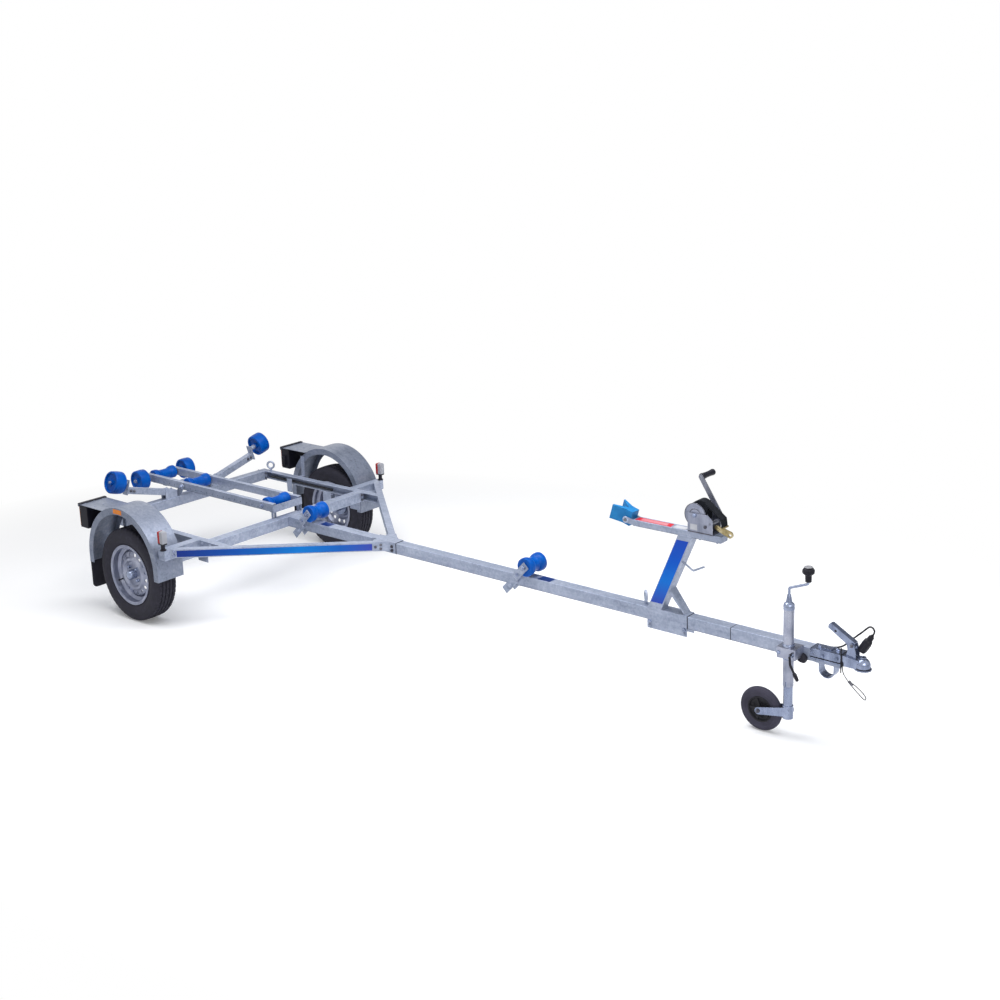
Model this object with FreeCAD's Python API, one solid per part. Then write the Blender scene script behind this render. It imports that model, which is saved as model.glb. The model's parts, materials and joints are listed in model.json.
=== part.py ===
import FreeCAD, Part
import math
import os
from FreeCAD import Vector as V

# Small single-axle boat trailer, galvanised, standing on its jockey wheel.
# The model is drawn in the trailer's own level frame, in millimetres: x forward from the
# axle, y to the left, z up from the axle. The last lines lean it nose down until the jockey
# wheel meets the ground, and put the origin on the ground at mid length.

# Road wheels, 145/80 R13 on a 4.5 inch rim
tyre_od = 562.0
tyre_w = 148.0
tread_w = 112.0
tread_drop = 3.0
rim_flange_r = 182.0
rim_seat_r = 168.0
rim_w = 128.0
rim_sheet = 3.5
well_drop = 20.0
track = 1610.0
disc_offset = 30.0
disc_t = 4.0
bolt_pcd = 100.0
bolt_hole_r = 7.0
bolt_count = 4
vent_count = 16
vent_r = 11.0
vent_circle_r = 118.0
hub_bore_r = 28.0
stub_r = 15.0
run_fit = 0.06

# Frame
frame_top = 220.0
bar = 60.0
bar_wall = 3.0
rail_h = 50.0
rail_w = 40.0
rail_wall = 3.0
rail_gap = 101.0
rail_rear = -530.0
rail_front = 640.0
front_bar_x = 437.0
rear_bar_x = -500.0
plate = 4.0
jacking_h = 84.0
rig_gap = 4.0
rig_inset = 20.0
diag_h = 50.0
diag_w = 40.0
diag_inset = 34.0
diag_front = 1322.0
collar_rear = 1190.0
wing = 92.0
eye_x = -434.0
eye_r = 23.0
eye_bar = 6.5
eye_shank = 14.0
eye_turn = -30.0
collar_front = 1373.0
seam_x = 3540.0
drawbar_end = 4098.0

# Axle with rubber-sprung trailing arms
axle_x = 136.0
axle_z = 64.0
axle_bar = 50.0
arm_t = 25.0
arm_boss_r = 32.0
arm_eye_r = 26.0
hub_gap = 6.0

# Mudguards, lamps and flaps
guard_x = -15.0
guard_z = 75.0
guard_gap = 54.0
guard_side = 13.0
guard_w = 178.0
guard_t = 2.0
guard_lip = 40.0
guard_foot = 24.0
shelf_drop = 46.0
lamp_deep = 78.0
lamp_h = 138.0
lens_t = 10.0
flap_t = 6.0
flap_low = -145.0
flap_top = 96.0
flap_corner = 26.0
marker_base_h = 44.0
marker_h = 115.0
marker_w = 44.0

# Keel cradle
cradle_out = 114.0
cradle_h = 48.0
cradle_w = 25.0
cradle_wall = 2.5
cradle_z = 288.0
cradle_front = 430.0
cradle_rear = -835.0
pivot_x = -446.0
front_roller_x = 329.0
rear_axle_x = -805.0
tail_bar_x = -640.0
pin_r = 8.0
rest_gap = 0.3
side_gap = 5.0
tail_wheel_r = 67.0
tail_wheel_w = 70.0
tail_wheel_y = 181.0

# Side supports
arm_bar = 40.0
arm_slope = 15.5
arm_in = 150.0
arm_len = 365.0
side_wheel_r = 71.0
side_wheel_w = 76.0
side_wheel_reach = 86.0
side_wheel_rise = 46.0

# Keel rollers on the drawbar
roller_r = 50.0
roller_waist_r = 37.0
roller_len = 130.0
cradle_roller_len = 168.0
cradle_roller_r = 42.0
cradle_waist_r = 31.0
roller_z = 282.0
roller_x = (686.0, 2340.0)
strip_t = 5.0
strip_w = 42.0

# Winch post, arm, bow stop and winch
post_x = 3120.0
post_lean = 23.7
post_deep = 70.0
saddle_rear = 3080.0
saddle_front = 3305.0
saddle_low = 118.0
brace_top = 338.0
hook_z = 484.0
hook_y = 12.0
hook_bar = 5.0
post_eye_x = 3050.0
post_eye_turn = 48.0
mast_top = 650.0
mast_h = 30.0
mast_w = 60.0
mast_rear = 3000.0
mast_front = 3486.0
stop_x = 2960.0
stop_rear = 80.0
stop_deep = 62.0
stop_w = 106.0
stop_h = 75.0
stop_under = 26.0
stop_tilt = 17.0
drum_x = 3352.0
drum_z = 735.0
drum_pin_r = 8.0
drum_core_r = 16.0
flange_r = 58.0
coil_r = 56.0
strap_w = 50.0
strap_t = 4.0
strap_reach = 141.0
winch_half = 34.0
winch_sheet = 3.0
spacer_x = 3410.0
shaft_x = 3434.0
shaft_z = 706.0
shaft_r = 10.0
clip_bar = 5.0
hook_len = 70.0
hook_t = 9.0
hook_side = 5.0
hook_tail_r = 11.0
hook_eye_r = 16.0
hook_bore_r = 8.5
crank_len = 216.0
crank_angle = 122.2
grip_len = 108.0
grip_r = 16.5

# Jockey wheel
jack_x = 3871.0
jack_y = -84.5
jack_r = 24.0
jack_wall = 2.5
jack_top = 426.0
jack_low = 40.0
leg_gap = 0.3
spindle_r = 7.0
leg_low = -116.0
leg_top = 205.0
clamp_len = 92.0
clamp_low = 176.0
clamp_top = 226.0
jockey_r = 105.0
jockey_w = 46.0
jockey_x = 3737.0
jockey_z = -107.0
fork_h = 42.0
fork_t = 4.0
fork_splay = 4.0
collar_t = 3.6

# Coupling
coupling_rear = 3950.0
coupling_wall = 3.0
coupling_skirt = 46.0
tie_x = 4102.0
ball_x = 4188.0
ball_r = 25.0
cup_wall = 8.0
cup_low = 168.0
nose_t = 5.0
nose_r = 38.0
pivot_x1 = 4142.0
pivot_z1 = 272.0
grip_x = 4038.0
grip_z = 336.0
lever_w = 28.0
lever_deep = 30.0
hoop_x = 4027.0
hoop_z = 131.0
hoop_r = 38.0
hoop_w = 50.0

# Worked out from the wheels: the rails, the mudguards and the lamp outriggers
wheel_y = track / 2
tyre_r = tyre_od / 2
tyre_in = wheel_y - tyre_w / 2
rail_out = tyre_in - rail_gap
guard_r = tyre_r + guard_gap
guard_in = tyre_in - guard_side
guard_out = guard_in + guard_w
shelf_rear = guard_x - guard_r - lamp_deep
shelf_z = guard_z + guard_r - shelf_drop
lamp_low = shelf_z - lamp_h
rig_x = guard_x + guard_r - rig_gap + bar / 2
rig_end = guard_out - rig_inset
diag_rear = rig_end - diag_inset

O = V(0, 0, 0)
Y = V(0, 1, 0)
Z = V(0, 0, 1)


def box(x0, x1, y0, y1, z0, z1):
    return Part.makeBox(x1 - x0, y1 - y0, z1 - z0, V(x0, y0, z0))


def rod(r, a, b):
    return Part.makeCylinder(r, (b - a).Length, a, b - a)


def prism(points, along):
    return Part.Face(Part.makePolygon(points + points[:1])).extrude(along)


def side(points, y0, y1):
    """A plate drawn from the side as x, z points, from y0 to y1."""
    return prism([V(x, y0, z) for x, z in points], V(0, y1 - y0, 0))


def plan(points, z0, z1):
    """A plate drawn from above as x, y points, from z0 to z1."""
    return prism([V(x, y, z0) for x, y in points], V(0, 0, z1 - z0))


def fuse(*shapes):
    return shapes[0].multiFuse(list(shapes[1:])).removeSplitter()


def group(*shapes):
    return Part.makeCompound(list(shapes))


def other(shape):
    """The same piece on the other side of the trailer."""
    return shape.mirror(O, Y)


def both(shape):
    return group(shape, other(shape))


def spin(points, at, axis=Y):
    """Turn a section, given as radius and distance along the axis, about that axis."""
    wire = Part.makePolygon([V(r, s, 0) for r, s in points + points[:1]])
    body = Part.Face(wire).revolve(O, Y, 360)
    body.Placement = FreeCAD.Placement(at, FreeCAD.Rotation(Y, axis))
    return body


def spin_wire(edges, at, axis=Y):
    """Turn a section made of edges, whose x is the radius and y the distance along the axis."""
    body = Part.Face(Part.Wire(Part.__sortEdges__(edges))).revolve(O, Y, 360)
    body.Placement = FreeCAD.Placement(at, FreeCAD.Rotation(Y, axis))
    return body


def link(r0, a, r1, b, y0, y1):
    """A flat link with round ends, seen from the side, from y0 to y1."""
    d = b - a
    turn = math.acos((r0 - r1) / d.Length)
    base = math.atan2(d.z, d.x)
    pts = []
    for centre, r, sign in ((a, r0, 1), (b, r1, 1), (b, r1, -1), (a, r0, -1)):
        t = base + sign * turn
        pts.append((centre.x + r * math.cos(t), centre.z + r * math.sin(t)))
    flat = side(pts, y0, y1)
    ends = [rod(r, V(c.x, y0, c.z), V(c.x, y1, c.z)) for c, r in ((a, r0), (b, r1))]
    return fuse(flat, *ends)


def pipe(r, points, bend):
    """A round bar along points, with its corners bent to one radius."""
    edges, last = [], points[0]
    for before, corner, after in zip(points, points[1:], points[2:]):
        u, w = (before - corner).normalize(), (after - corner).normalize()
        half = u.getAngle(w) / 2
        cut = bend / math.tan(half)
        p, q = corner + u * cut, corner + w * cut
        mid = (u + w).normalize()
        m = corner + mid * (bend / math.sin(half) - bend)
        edges += [Part.LineSegment(last, p).toShape(), Part.Arc(p, m, q).toShape()]
        last = q
    edges.append(Part.LineSegment(last, points[-1]).toShape())
    wire = Part.Wire(edges)
    section = Part.Wire(Part.makeCircle(r, points[0], points[1] - points[0]))
    return wire.makePipeShell([section], True, False)


def cord(name, r, points):
    """A cord: straight runs with an arc at each corner, as large as its two runs allow."""
    edges, last, radii = [], points[0], []
    for before, corner, after in zip(points, points[1:], points[2:]):
        a, b = (before - corner).Length, (after - corner).Length
        u, w = (before - corner).normalize(), (after - corner).normalize()
        half = u.getAngle(w) / 2
        cut = 0.45 * min(a, b)
        bend = cut * math.tan(half)
        p, q = corner + u * cut, corner + w * cut
        m = corner + (u + w).normalize() * (bend / math.sin(half) - bend)
        edges += [Part.LineSegment(last, p).toShape(), Part.Arc(p, m, q).toShape()]
        last = q
        radii.append(round(bend, 1))
    edges.append(Part.LineSegment(last, points[-1]).toShape())
    wire = Part.Wire(edges)
    section = Part.Wire(Part.makeCircle(r, points[0], points[1] - points[0]))
    body = wire.makePipeShell([section], True, False)
    ratio = body.Volume / (math.pi * r * r * wire.Length)
    print(name, "length", round(wire.Length), "radii", radii, "volume ratio", round(ratio, 4))
    return body


def tube(width, height, wall, x0, x1, y, z):
    """A box tube along x."""
    outer = box(x0, x1, y - width / 2, y + width / 2, z - height / 2, z + height / 2)
    inner = box(x0, x1, y - width / 2 + wall, y + width / 2 - wall,
                z - height / 2 + wall, z + height / 2 - wall)
    return outer.cut(inner)


parts = {}

# Road wheels: tyre, rim and hub
half_rim = rim_w / 2
flange_in = half_rim - 6
bulge_r = (tyre_r + rim_flange_r) / 2


def seg(a, b):
    return Part.LineSegment(V(a[0], a[1], 0), V(b[0], b[1], 0)).toShape()


def arc(a, m, b):
    return Part.Arc(V(a[0], a[1], 0), V(m[0], m[1], 0), V(b[0], b[1], 0)).toShape()


def tyre_section(s):
    """Bead, side wall and shoulder on one side, s = 1 or -1, and the tread's edge."""
    bead, low = (rim_seat_r, s * flange_in), (rim_flange_r + 2, s * flange_in)
    wide, shoulder = (bulge_r, s * tyre_w / 2), (tyre_r - 14, s * (tread_w / 2 + 9))
    edge = (tyre_r - tread_drop, s * tread_w / 2)
    wall = [seg(bead, low), arc(low, (bulge_r - 26, s * (tyre_w / 2 - 3)), wide),
            arc(wide, (bulge_r + 20, s * (tyre_w / 2 - 2.5)), shoulder),
            arc(shoulder, (tyre_r - 7, s * (tread_w / 2 + 5.5)), edge)]
    return wall, bead, edge


out_wall, out_bead, out_edge = tyre_section(1)
in_wall, in_bead, in_edge = tyre_section(-1)
hub_centre = V(0, wheel_y, 0)
tyre = spin_wire(out_wall + in_wall + [arc(out_edge, (tyre_r, 0), in_edge), seg(in_bead, out_bead)],
                 hub_centre)

well_r = rim_seat_r - well_drop
cone = 2.2
well_out, cone_out = 16.0, 26.0
well_in, cone_in = -26.0, -36.0
rim_outside = [(rim_seat_r, flange_in), (rim_flange_r - 3, flange_in), (rim_flange_r, flange_in + 2),
               (rim_flange_r, half_rim)]
rim_inside = [(rim_flange_r - 4, half_rim), (rim_flange_r - 6, flange_in + rim_sheet),
              (rim_seat_r - rim_sheet, flange_in + rim_sheet),
              (rim_seat_r - rim_sheet, cone_out + cone), (well_r - rim_sheet, well_out + cone),
              (well_r - rim_sheet, well_in - cone), (rim_seat_r - rim_sheet, cone_in - cone),
              (rim_seat_r - rim_sheet, -flange_in - rim_sheet),
              (rim_flange_r - 6, -flange_in - rim_sheet), (rim_flange_r - 4, -half_rim)]
rim_back = [(rim_flange_r, -half_rim), (rim_flange_r, -flange_in - 2), (rim_flange_r - 3, -flange_in),
            (rim_seat_r, -flange_in), (rim_seat_r, cone_in), (well_r, well_in), (well_r, well_out),
            (rim_seat_r, cone_out)]
rim = spin(rim_outside + rim_inside + rim_back, hub_centre)

# The pressed disc: a flat seat on the hub, a raised ring, the ring of vents, and a turned edge
d0 = disc_offset
face = [(hub_bore_r + 1, d0), (70, d0), (82, d0 + 14), (94, d0 + 14), (104, d0 + 4),
        (132, d0 - 2), (well_r - rim_sheet, d0 - 22)]
back = [(r - 1 if i == len(face) - 1 else r, s - disc_t) for i, (r, s) in enumerate(face)]
back[-1] = (well_r - rim_sheet, d0 - 22 - disc_t * 1.6)
disc = spin(face + back[::-1], V(0, wheel_y, 0))
for i in range(vent_count):
    t = 2 * math.pi * (i + 0.5) / vent_count
    c = V(vent_circle_r * math.cos(t), wheel_y - 20, vent_circle_r * math.sin(t))
    disc = disc.cut(rod(vent_r, c, c + V(0, 100, 0)))
for i in range(bolt_count):
    t = 2 * math.pi * (i + 0.5) / bolt_count
    c = V(bolt_pcd / 2 * math.cos(t), wheel_y, bolt_pcd / 2 * math.sin(t))
    disc = disc.cut(rod(bolt_hole_r, c, c + V(0, 100, 0)))
rim = fuse(rim, disc)

hub_face = d0 - disc_t
hub = spin([(stub_r + run_fit, -40), (38, -40), (38, hub_face - 12), (64, hub_face - 12),
            (64, hub_face), (hub_bore_r, hub_face), (hub_bore_r, d0 + 16), (24, d0 + 26),
            (0, d0 + 30), (0, d0 + 18), (stub_r + run_fit, d0 + 18)], hub_centre)
parts["tyre_left"] = tyre
parts["rim_left"] = rim
parts["hub_left"] = hub
for n in ("tyre", "rim", "hub"):
    parts[n + "_right"] = other(parts[n + "_left"])

# Axle beam, trailing arms and stub shafts
inner_side = tyre_in - hub_gap
arm_y0 = inner_side - arm_t
axle_low, axle_high = axle_z - axle_bar / 2, axle_z + axle_bar / 2
beam = box(axle_x - axle_bar / 2, axle_x + axle_bar / 2, -arm_y0, arm_y0, axle_low, axle_high)
trailing = link(arm_boss_r, V(axle_x, 0, axle_z), arm_eye_r, V(0, 0, 0), arm_y0, inner_side)
stub = fuse(rod(stub_r + 6, V(0, inner_side, 0), V(0, wheel_y - 42, 0)),
            rod(stub_r, V(0, wheel_y - 42, 0), V(0, wheel_y + d0 + 14, 0)))
parts["trailing_arms"] = both(fuse(trailing, stub))
rail_mid = rail_out - rail_w / 2
rail_low = frame_top - rail_h
half_b = axle_bar / 2 + 12
bracket = box(axle_x - half_b, axle_x + half_b, rail_out - rail_w, rail_out, axle_high, rail_low)
bracket = bracket.cut(box(axle_x - half_b, axle_x + half_b, rail_out - rail_w + plate, rail_out - plate,
                          axle_high + plate, rail_low - plate))
parts["axle_beam"] = beam

# Rails, crossbars, drawbar, outriggers and diagonals
# A diagonal runs from each outrigger, at its outer face's start, to the collar on the drawbar
rig0, rig1 = rig_x - bar / 2, rig_x + bar / 2
collar_y = bar / 2 + plate
start = V(rig1, diag_rear, 0)
along = (V(diag_front, collar_y, 0) - start).normalize()
inward = V(along.y, -along.x, 0)
rail_in = rail_out - rail_w
bar_low = frame_top - bar
rail = box(rail_rear, rail_front, rail_in, rail_out, rail_low, frame_top)
rail = rail.cut(box(rail_rear, rail_front, rail_in, rail_out - rail_wall,
                    rail_low + rail_wall, frame_top - rail_wall))


def diag_inner(y):
    """Where the left diagonal's inner face is at y, as x."""
    p = start + inward * diag_w
    return p.x + along.x * (y - p.y) / along.y


past_rail = max(rail_front, diag_inner(rail_in - 1), diag_inner(rail_out + 1)) + bar
beyond = plan([(diag_inner(rail_in - 1), rail_in - 1), (past_rail, rail_in - 1), (past_rail, rail_out + 1),
               (diag_inner(rail_out + 1), rail_out + 1)], rail_low, frame_top)
rail = rail.cut(beyond)
parts["side_rail_left"] = rail
parts["side_rail_right"] = other(rail)


def crossbar(x):
    beam = tube(bar, bar, bar_wall, -rail_in + plate, rail_in - plate, 0, 0)
    beam.rotate(O, V(0, 0, 1), 90)
    beam.translate(V(x, 0, frame_top - bar / 2))
    ends = [box(x - bar / 2 - 14, x + bar / 2 + 14, y, y + plate, bar_low, frame_top)
            for y in (-rail_in, rail_in - plate)]
    return fuse(beam, *ends)


parts["crossbars"] = group(crossbar(front_bar_x), crossbar(rear_bar_x))

bar_mid = frame_top - bar / 2
drawbar_rear = front_bar_x + bar / 2
parts["drawbar_rear"] = tube(bar, bar, bar_wall, drawbar_rear, seam_x, 0, bar_mid)
parts["drawbar_front"] = tube(bar, bar, bar_wall, seam_x, drawbar_end, 0, bar_mid)

# Outrigger from each rail to its marker lamp
rig = box(rig0, rig1, rail_out, rig_end - plate, bar_low, frame_top)
rig = rig.cut(box(rig0 + bar_wall, rig1 - bar_wall, rail_out, rig_end - plate,
                  bar_low + bar_wall, frame_top - bar_wall))
rig = fuse(rig, box(rig0, rig1, rig_end - plate, rig_end, bar_low, frame_top))
parts["outriggers"] = both(rig)

def diag_outline(inset):
    outer_line = start + inward * inset
    inner_line = start + inward * (diag_w - inset)
    pts = []
    for p, ends in ((outer_line, (0, 1)), (inner_line, (1, 0))):
        hits = [p + along * ((rig1 - p.x) / along.x), p + along * ((collar_y - p.y) / along.y)]
        pts += [(hits[e].x, hits[e].y) for e in ends]
    return pts


diagonal = plan(diag_outline(0), frame_top - diag_h, frame_top)
diagonal = diagonal.cut(plan(diag_outline(bar_wall), frame_top - diag_h + bar_wall, frame_top - bar_wall))
parts["diagonal_left"] = diagonal
parts["diagonal_right"] = other(diagonal)

# Collar that bolts the diagonals to the drawbar
collar = box(collar_rear, collar_front, -collar_y, collar_y, bar_low, frame_top + plate)
collar = collar.cut(box(collar_rear, collar_front, -bar / 2, bar / 2, bar_low, frame_top))
join = V(diag_front, collar_y, 0)


def wing_point(s, n):
    """A point beside the left diagonal: s back from its front end, n out from its outer face."""
    q = join - along * s - inward * n
    return (q.x, q.y)


flank = plan([wing_point(0, 0), wing_point(wing, 0), wing_point(wing, plate), wing_point(-2, plate),
              (diag_front + 6, collar_y)], frame_top - diag_h, frame_top + plate)
rear_in = wing_point(wing, -diag_w)
half_web = [(collar_front, collar_y), (diag_front + 6, collar_y), wing_point(-2, plate),
            wing_point(wing, plate), rear_in]
web = plan(half_web + [(x, -y) for x, y in reversed(half_web)], frame_top, frame_top + plate)
parts["collar"] = fuse(collar, web, flank, other(flank))

# Lashing eyes at the rear corners
def lashing_eye(x, y, seat, turned):
    """A forged ring on a short shank, turned about the vertical."""
    ring = Part.makeTorus(eye_r, eye_bar, V(x, y, seat + eye_r + eye_bar + eye_shank),
                          V(math.sin(turned), math.cos(turned), 0))
    return fuse(ring, rod(eye_bar + 1.5, V(x, y, seat), V(x, y, seat + eye_shank + eye_bar)))


eye = lashing_eye(eye_x, rail_mid, frame_top, math.radians(eye_turn))

# Mudguards, shelves, lamps and flaps
def arch(inset, y0, y1):
    """The side view of a mudguard, drawn in from its outline, from y0 to y1."""
    r = guard_r - inset
    a, b = V(guard_x - r, y0, guard_foot), V(guard_x - r, y0, guard_z)
    c, d = V(guard_x + r, y0, guard_z), V(guard_x + r, y0, guard_foot)
    top = V(guard_x, y0, guard_z + r)
    wire = Part.Wire([Part.LineSegment(a, b).toShape(), Part.Arc(b, top, c).toShape(),
                      Part.LineSegment(c, d).toShape(), Part.LineSegment(d, a).toShape()])
    return Part.Face(wire).extrude(V(0, y1 - y0, 0))


sheet = arch(0, guard_in, guard_out).cut(arch(guard_t, guard_in + guard_t, guard_out - guard_t))
guard = sheet.cut(arch(guard_lip, guard_in - 1, guard_out + 1))

# Shelf behind each mudguard, with the rear lamp under it
shelf_in = guard_in - 16
shelf = box(shelf_rear, guard_x, shelf_in, guard_out - 6, shelf_z, shelf_z + guard_t)
turned = box(shelf_rear, shelf_rear + guard_t, shelf_in, guard_out - 6, shelf_z - 12, shelf_z)
shelf = fuse(shelf, turned).cut(arch(0, shelf_in - 1, guard_out + 1))
guard = fuse(guard, shelf)
parts["mudguard_left"] = guard
parts["mudguard_right"] = other(guard)
strip_y0, strip_y1 = shelf_in, guard_out - 6
edge = box(shelf_rear - 6, shelf_rear + 16, strip_y0, strip_y1, shelf_z + guard_t, shelf_z + guard_t + 6)
edge = fuse(edge, box(shelf_rear - 6, shelf_rear, strip_y0, strip_y1, shelf_z - 12, shelf_z + guard_t))
lamp_y0, lamp_y1 = shelf_in + 4, guard_out - 10
lamp = box(shelf_rear + guard_t, shelf_rear + lamp_deep, lamp_y0, lamp_y1, lamp_low, shelf_z)
lamp = lamp.cut(arch(0, lamp_y0 - 1, lamp_y1 + 1))
lamp = lamp.cut(box(shelf_rear, shelf_rear + 8, lamp_y0 + 6, lamp_y1 - 6, lamp_low + 6, shelf_z - 14))
lens = box(shelf_rear - lens_t, shelf_rear + 8, lamp_y0 + 6, lamp_y1 - 6, lamp_low + 6, shelf_z - 14)
parts["rear_lenses"] = both(lens)
lamp = fuse(lamp, box(shelf_rear + 12, shelf_rear + 44, lamp_y0 - 12, lamp_y0, lamp_low + 24, lamp_low + 86))

flap_x = guard_x - guard_r
flap = box(flap_x - flap_t, flap_x, guard_in + 10, guard_out - 6, flap_low, flap_top)
flap = flap.makeFillet(min(flap_corner, 0.4 * guard_w),
                       [e for e in flap.Edges if e.BoundBox.ZMax < flap_low + 1 and e.BoundBox.YLength < 1])
parts["mud_flaps"] = group(flap, edge, other(flap), other(edge))

# Guard brackets: an angle from the rail at the rear, and a spacer on the outrigger in front
hang_x = -225.0
hanger = fuse(box(hang_x - 15, hang_x + 15, rail_out, guard_in, frame_top - 28, frame_top - 22),
              box(hang_x - 15, hang_x + 15, guard_in - 6, guard_in, frame_top - 28, guard_z + guard_r - 78))
spacer = box(rig0 - 30, rig0, guard_in + 30, guard_out - 60, bar_low + 4, bar_low + 34)
spacer = spacer.cut(arch(0, guard_in, guard_out))
strap = box(hang_x - 24, hang_x + 24, rail_in - plate, rail_in, rail_low - 57, frame_top - 16)
jacking = box(rig_x - 15, rig_x + 72, rail_mid, rail_mid + plate, rail_low - jacking_h, rail_low)
guard_brackets = [hanger, spacer, strap, jacking, bracket]

# Marker lamps on the outriggers' ends
mx, my = rig_x + 12, rig_end - 6
foot = fuse(rod(18, V(mx, my, frame_top), V(mx, my, frame_top + 6)),
            rod(12, V(mx, my, frame_top + 6), V(mx, my, frame_top + marker_base_h - 8)),
            box(mx - marker_w / 2, mx + marker_w / 2, my - 15, my + 15,
                frame_top + marker_base_h - 8, frame_top + marker_base_h))
parts["lamp_bodies"] = group(lamp, foot, other(lamp), other(foot))
glass = box(mx - marker_w / 2, mx + marker_w / 2, my - 17, my + 17, frame_top + marker_base_h,
            frame_top + marker_h)
glass = glass.makeFillet(9, [e for e in glass.Edges if e.BoundBox.ZMin > frame_top + marker_base_h + 1])
parts["marker_lenses"] = both(glass)

# Keel rollers and their brackets
def roller(r, waist, length, at, axis=Y):
    """A keel roller: two rims that fall to a waist, and a bore for its pin."""
    h = length / 2
    half = [seg((pin_r + run_fit, h), (r - 6, h)), arc((r - 6, h), (r - 1.8, h - 1.8), (r, h - 6)),
            seg((r, h - 6), (r, h - 22)),
            arc((r, h - 22), ((r + waist) / 2 + 1, h - 40), (waist + 1.5, h - 48)),
            arc((waist + 1.5, h - 48), (waist, 0), (waist + 1.5, 48 - h)),
            arc((waist + 1.5, 48 - h), ((r + waist) / 2 + 1, 40 - h), (r, 22 - h)),
            seg((r, 22 - h), (r, 6 - h)), arc((r, 6 - h), (r - 1.8, 1.8 - h), (r - 6, -h)),
            seg((r - 6, -h), (pin_r + run_fit, -h)), seg((pin_r + run_fit, -h), (pin_r + run_fit, h))]
    return spin_wire(half, at, axis)


def wheel(r, width, at, axis=Y):
    """A crowned plastic wheel with a recessed face round its boss."""
    h, b = width / 2, pin_r + run_fit
    out = [seg((b, h), (b + 9, h)), seg((b + 9, h), (b + 11, h - 10)),
           seg((b + 11, h - 10), (r - 16, h - 10)),
           seg((r - 16, h - 10), (r - 13, h)), seg((r - 13, h), (r - 9, h)),
           arc((r - 9, h), (r - 3, h - 3), (r - 1.5, h - 10)),
           arc((r - 1.5, h - 10), (r, 0), (r - 1.5, 10 - h)),
           arc((r - 1.5, 10 - h), (r - 3, 3 - h), (r - 9, -h)), seg((r - 9, -h), (r - 13, -h)),
           seg((r - 13, -h), (r - 16, 10 - h)), seg((r - 16, 10 - h), (b + 11, 10 - h)),
           seg((b + 11, 10 - h), (b + 9, -h)), seg((b + 9, -h), (b, -h)), seg((b, -h), (b, h))]
    return spin_wire(out, at, axis)


def roller_bracket(x):
    """Two joggled strips, clamped about the drawbar by bolts, that carry a roller's pin."""
    top = V(x, 0, roller_z)
    run = V(1, 0, 1).normalize()
    foot_at = top - run * 236
    inner_y, outer_y = bar / 2, roller_len / 2 + 3

    def strip(s, y):
        p = foot_at + run * s
        return V(p.x, y, p.z)

    pts = [strip(0, inner_y), strip(112, inner_y), strip(150, outer_y), strip(258, outer_y),
           strip(258, outer_y + strip_t), strip(148, outer_y + strip_t), strip(110, inner_y + strip_t),
           strip(0, inner_y + strip_t)]
    across = V(-1, 0, 1).normalize() * strip_w
    one = prism([p - across * 0.5 for p in pts], across)
    low = strip(65, 0)
    low.z = bar_low - pin_r
    high = strip(172, 0)
    return fuse(one, other(one),
                rod(pin_r, V(low.x, -inner_y - strip_t, low.z), V(low.x, inner_y + strip_t, low.z)),
                rod(6, V(high.x, -outer_y, high.z), V(high.x, outer_y, high.z)),
                rod(pin_r, V(x, -outer_y - 12, roller_z), V(x, outer_y + 12, roller_z)))


for n, x in zip(("rear", "front"), roller_x):
    parts["keel_roller_" + n] = roller(roller_r, roller_waist_r, roller_len, V(x, 0, roller_z))
parts["roller_brackets"] = group(*[roller_bracket(x) for x in roller_x])

# Tilting keel cradle
cradle_low, cradle_high = cradle_z - cradle_h / 2, cradle_z + cradle_h / 2
cradle_in = cradle_out - cradle_w
beam = tube(cradle_w, cradle_h, cradle_wall, cradle_rear, cradle_front, cradle_out - cradle_w / 2, cradle_z)
for x in (rear_axle_x, pivot_x, front_roller_x):
    beam = beam.cut(rod(pin_r, V(x, 0, cradle_z), V(x, 200, cradle_z)))
pivot_eye = rod(pin_r + 5, V(pivot_x, cradle_in, cradle_z), V(pivot_x, cradle_out, cradle_z))
pivot_eye = pivot_eye.cut(rod(pin_r + run_fit, V(pivot_x, 0, cradle_z), V(pivot_x, 200, cradle_z)))
beam = fuse(beam.cut(rod(pin_r + 5, V(pivot_x, 0, cradle_z), V(pivot_x, 200, cradle_z))), pivot_eye)
cross = fuse(box(cradle_front, cradle_front + plate, -cradle_out, cradle_out,
                 cradle_low - plate, cradle_high - 8),
             box(cradle_front - 32, cradle_front, -cradle_out, cradle_out, cradle_low - plate, cradle_low))
tail_bar = box(tail_bar_x - 20, tail_bar_x + 20, -cradle_out, cradle_out, cradle_low - plate, cradle_low)
parts["cradle_frame"] = fuse(beam, other(beam), cross, tail_bar)
pins = [rod(pin_r, V(front_roller_x, -cradle_out - 12, cradle_z),
            V(front_roller_x, cradle_out + 12, cradle_z)),
        rod(pin_r, V(rear_axle_x, -tail_wheel_y - tail_wheel_w / 2 - 8, cradle_z),
            V(rear_axle_x, tail_wheel_y + tail_wheel_w / 2 + 8, cradle_z))]
sleeve = rod(pin_r + 6, V(rear_axle_x, cradle_out, cradle_z),
             V(rear_axle_x, tail_wheel_y - tail_wheel_w / 2 - 1, cradle_z))
sleeve = sleeve.cut(rod(pin_r, V(rear_axle_x, 0, cradle_z), V(rear_axle_x, 300, cradle_z)))
parts["cradle_pins"] = group(pins[0], fuse(pins[1], sleeve, other(sleeve)))
for n, x in zip(("tail", "middle", "front"), (rear_axle_x, pivot_x, front_roller_x)):
    at = V(x, 0, cradle_z)
    parts["cradle_roller_" + n] = roller(cradle_roller_r, cradle_waist_r, cradle_roller_len, at)
tail_wheel = wheel(tail_wheel_r, tail_wheel_w, V(rear_axle_x, tail_wheel_y, cradle_z))
parts["cradle_wheel_left"] = tail_wheel
parts["cradle_wheel_right"] = other(tail_wheel)

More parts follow.
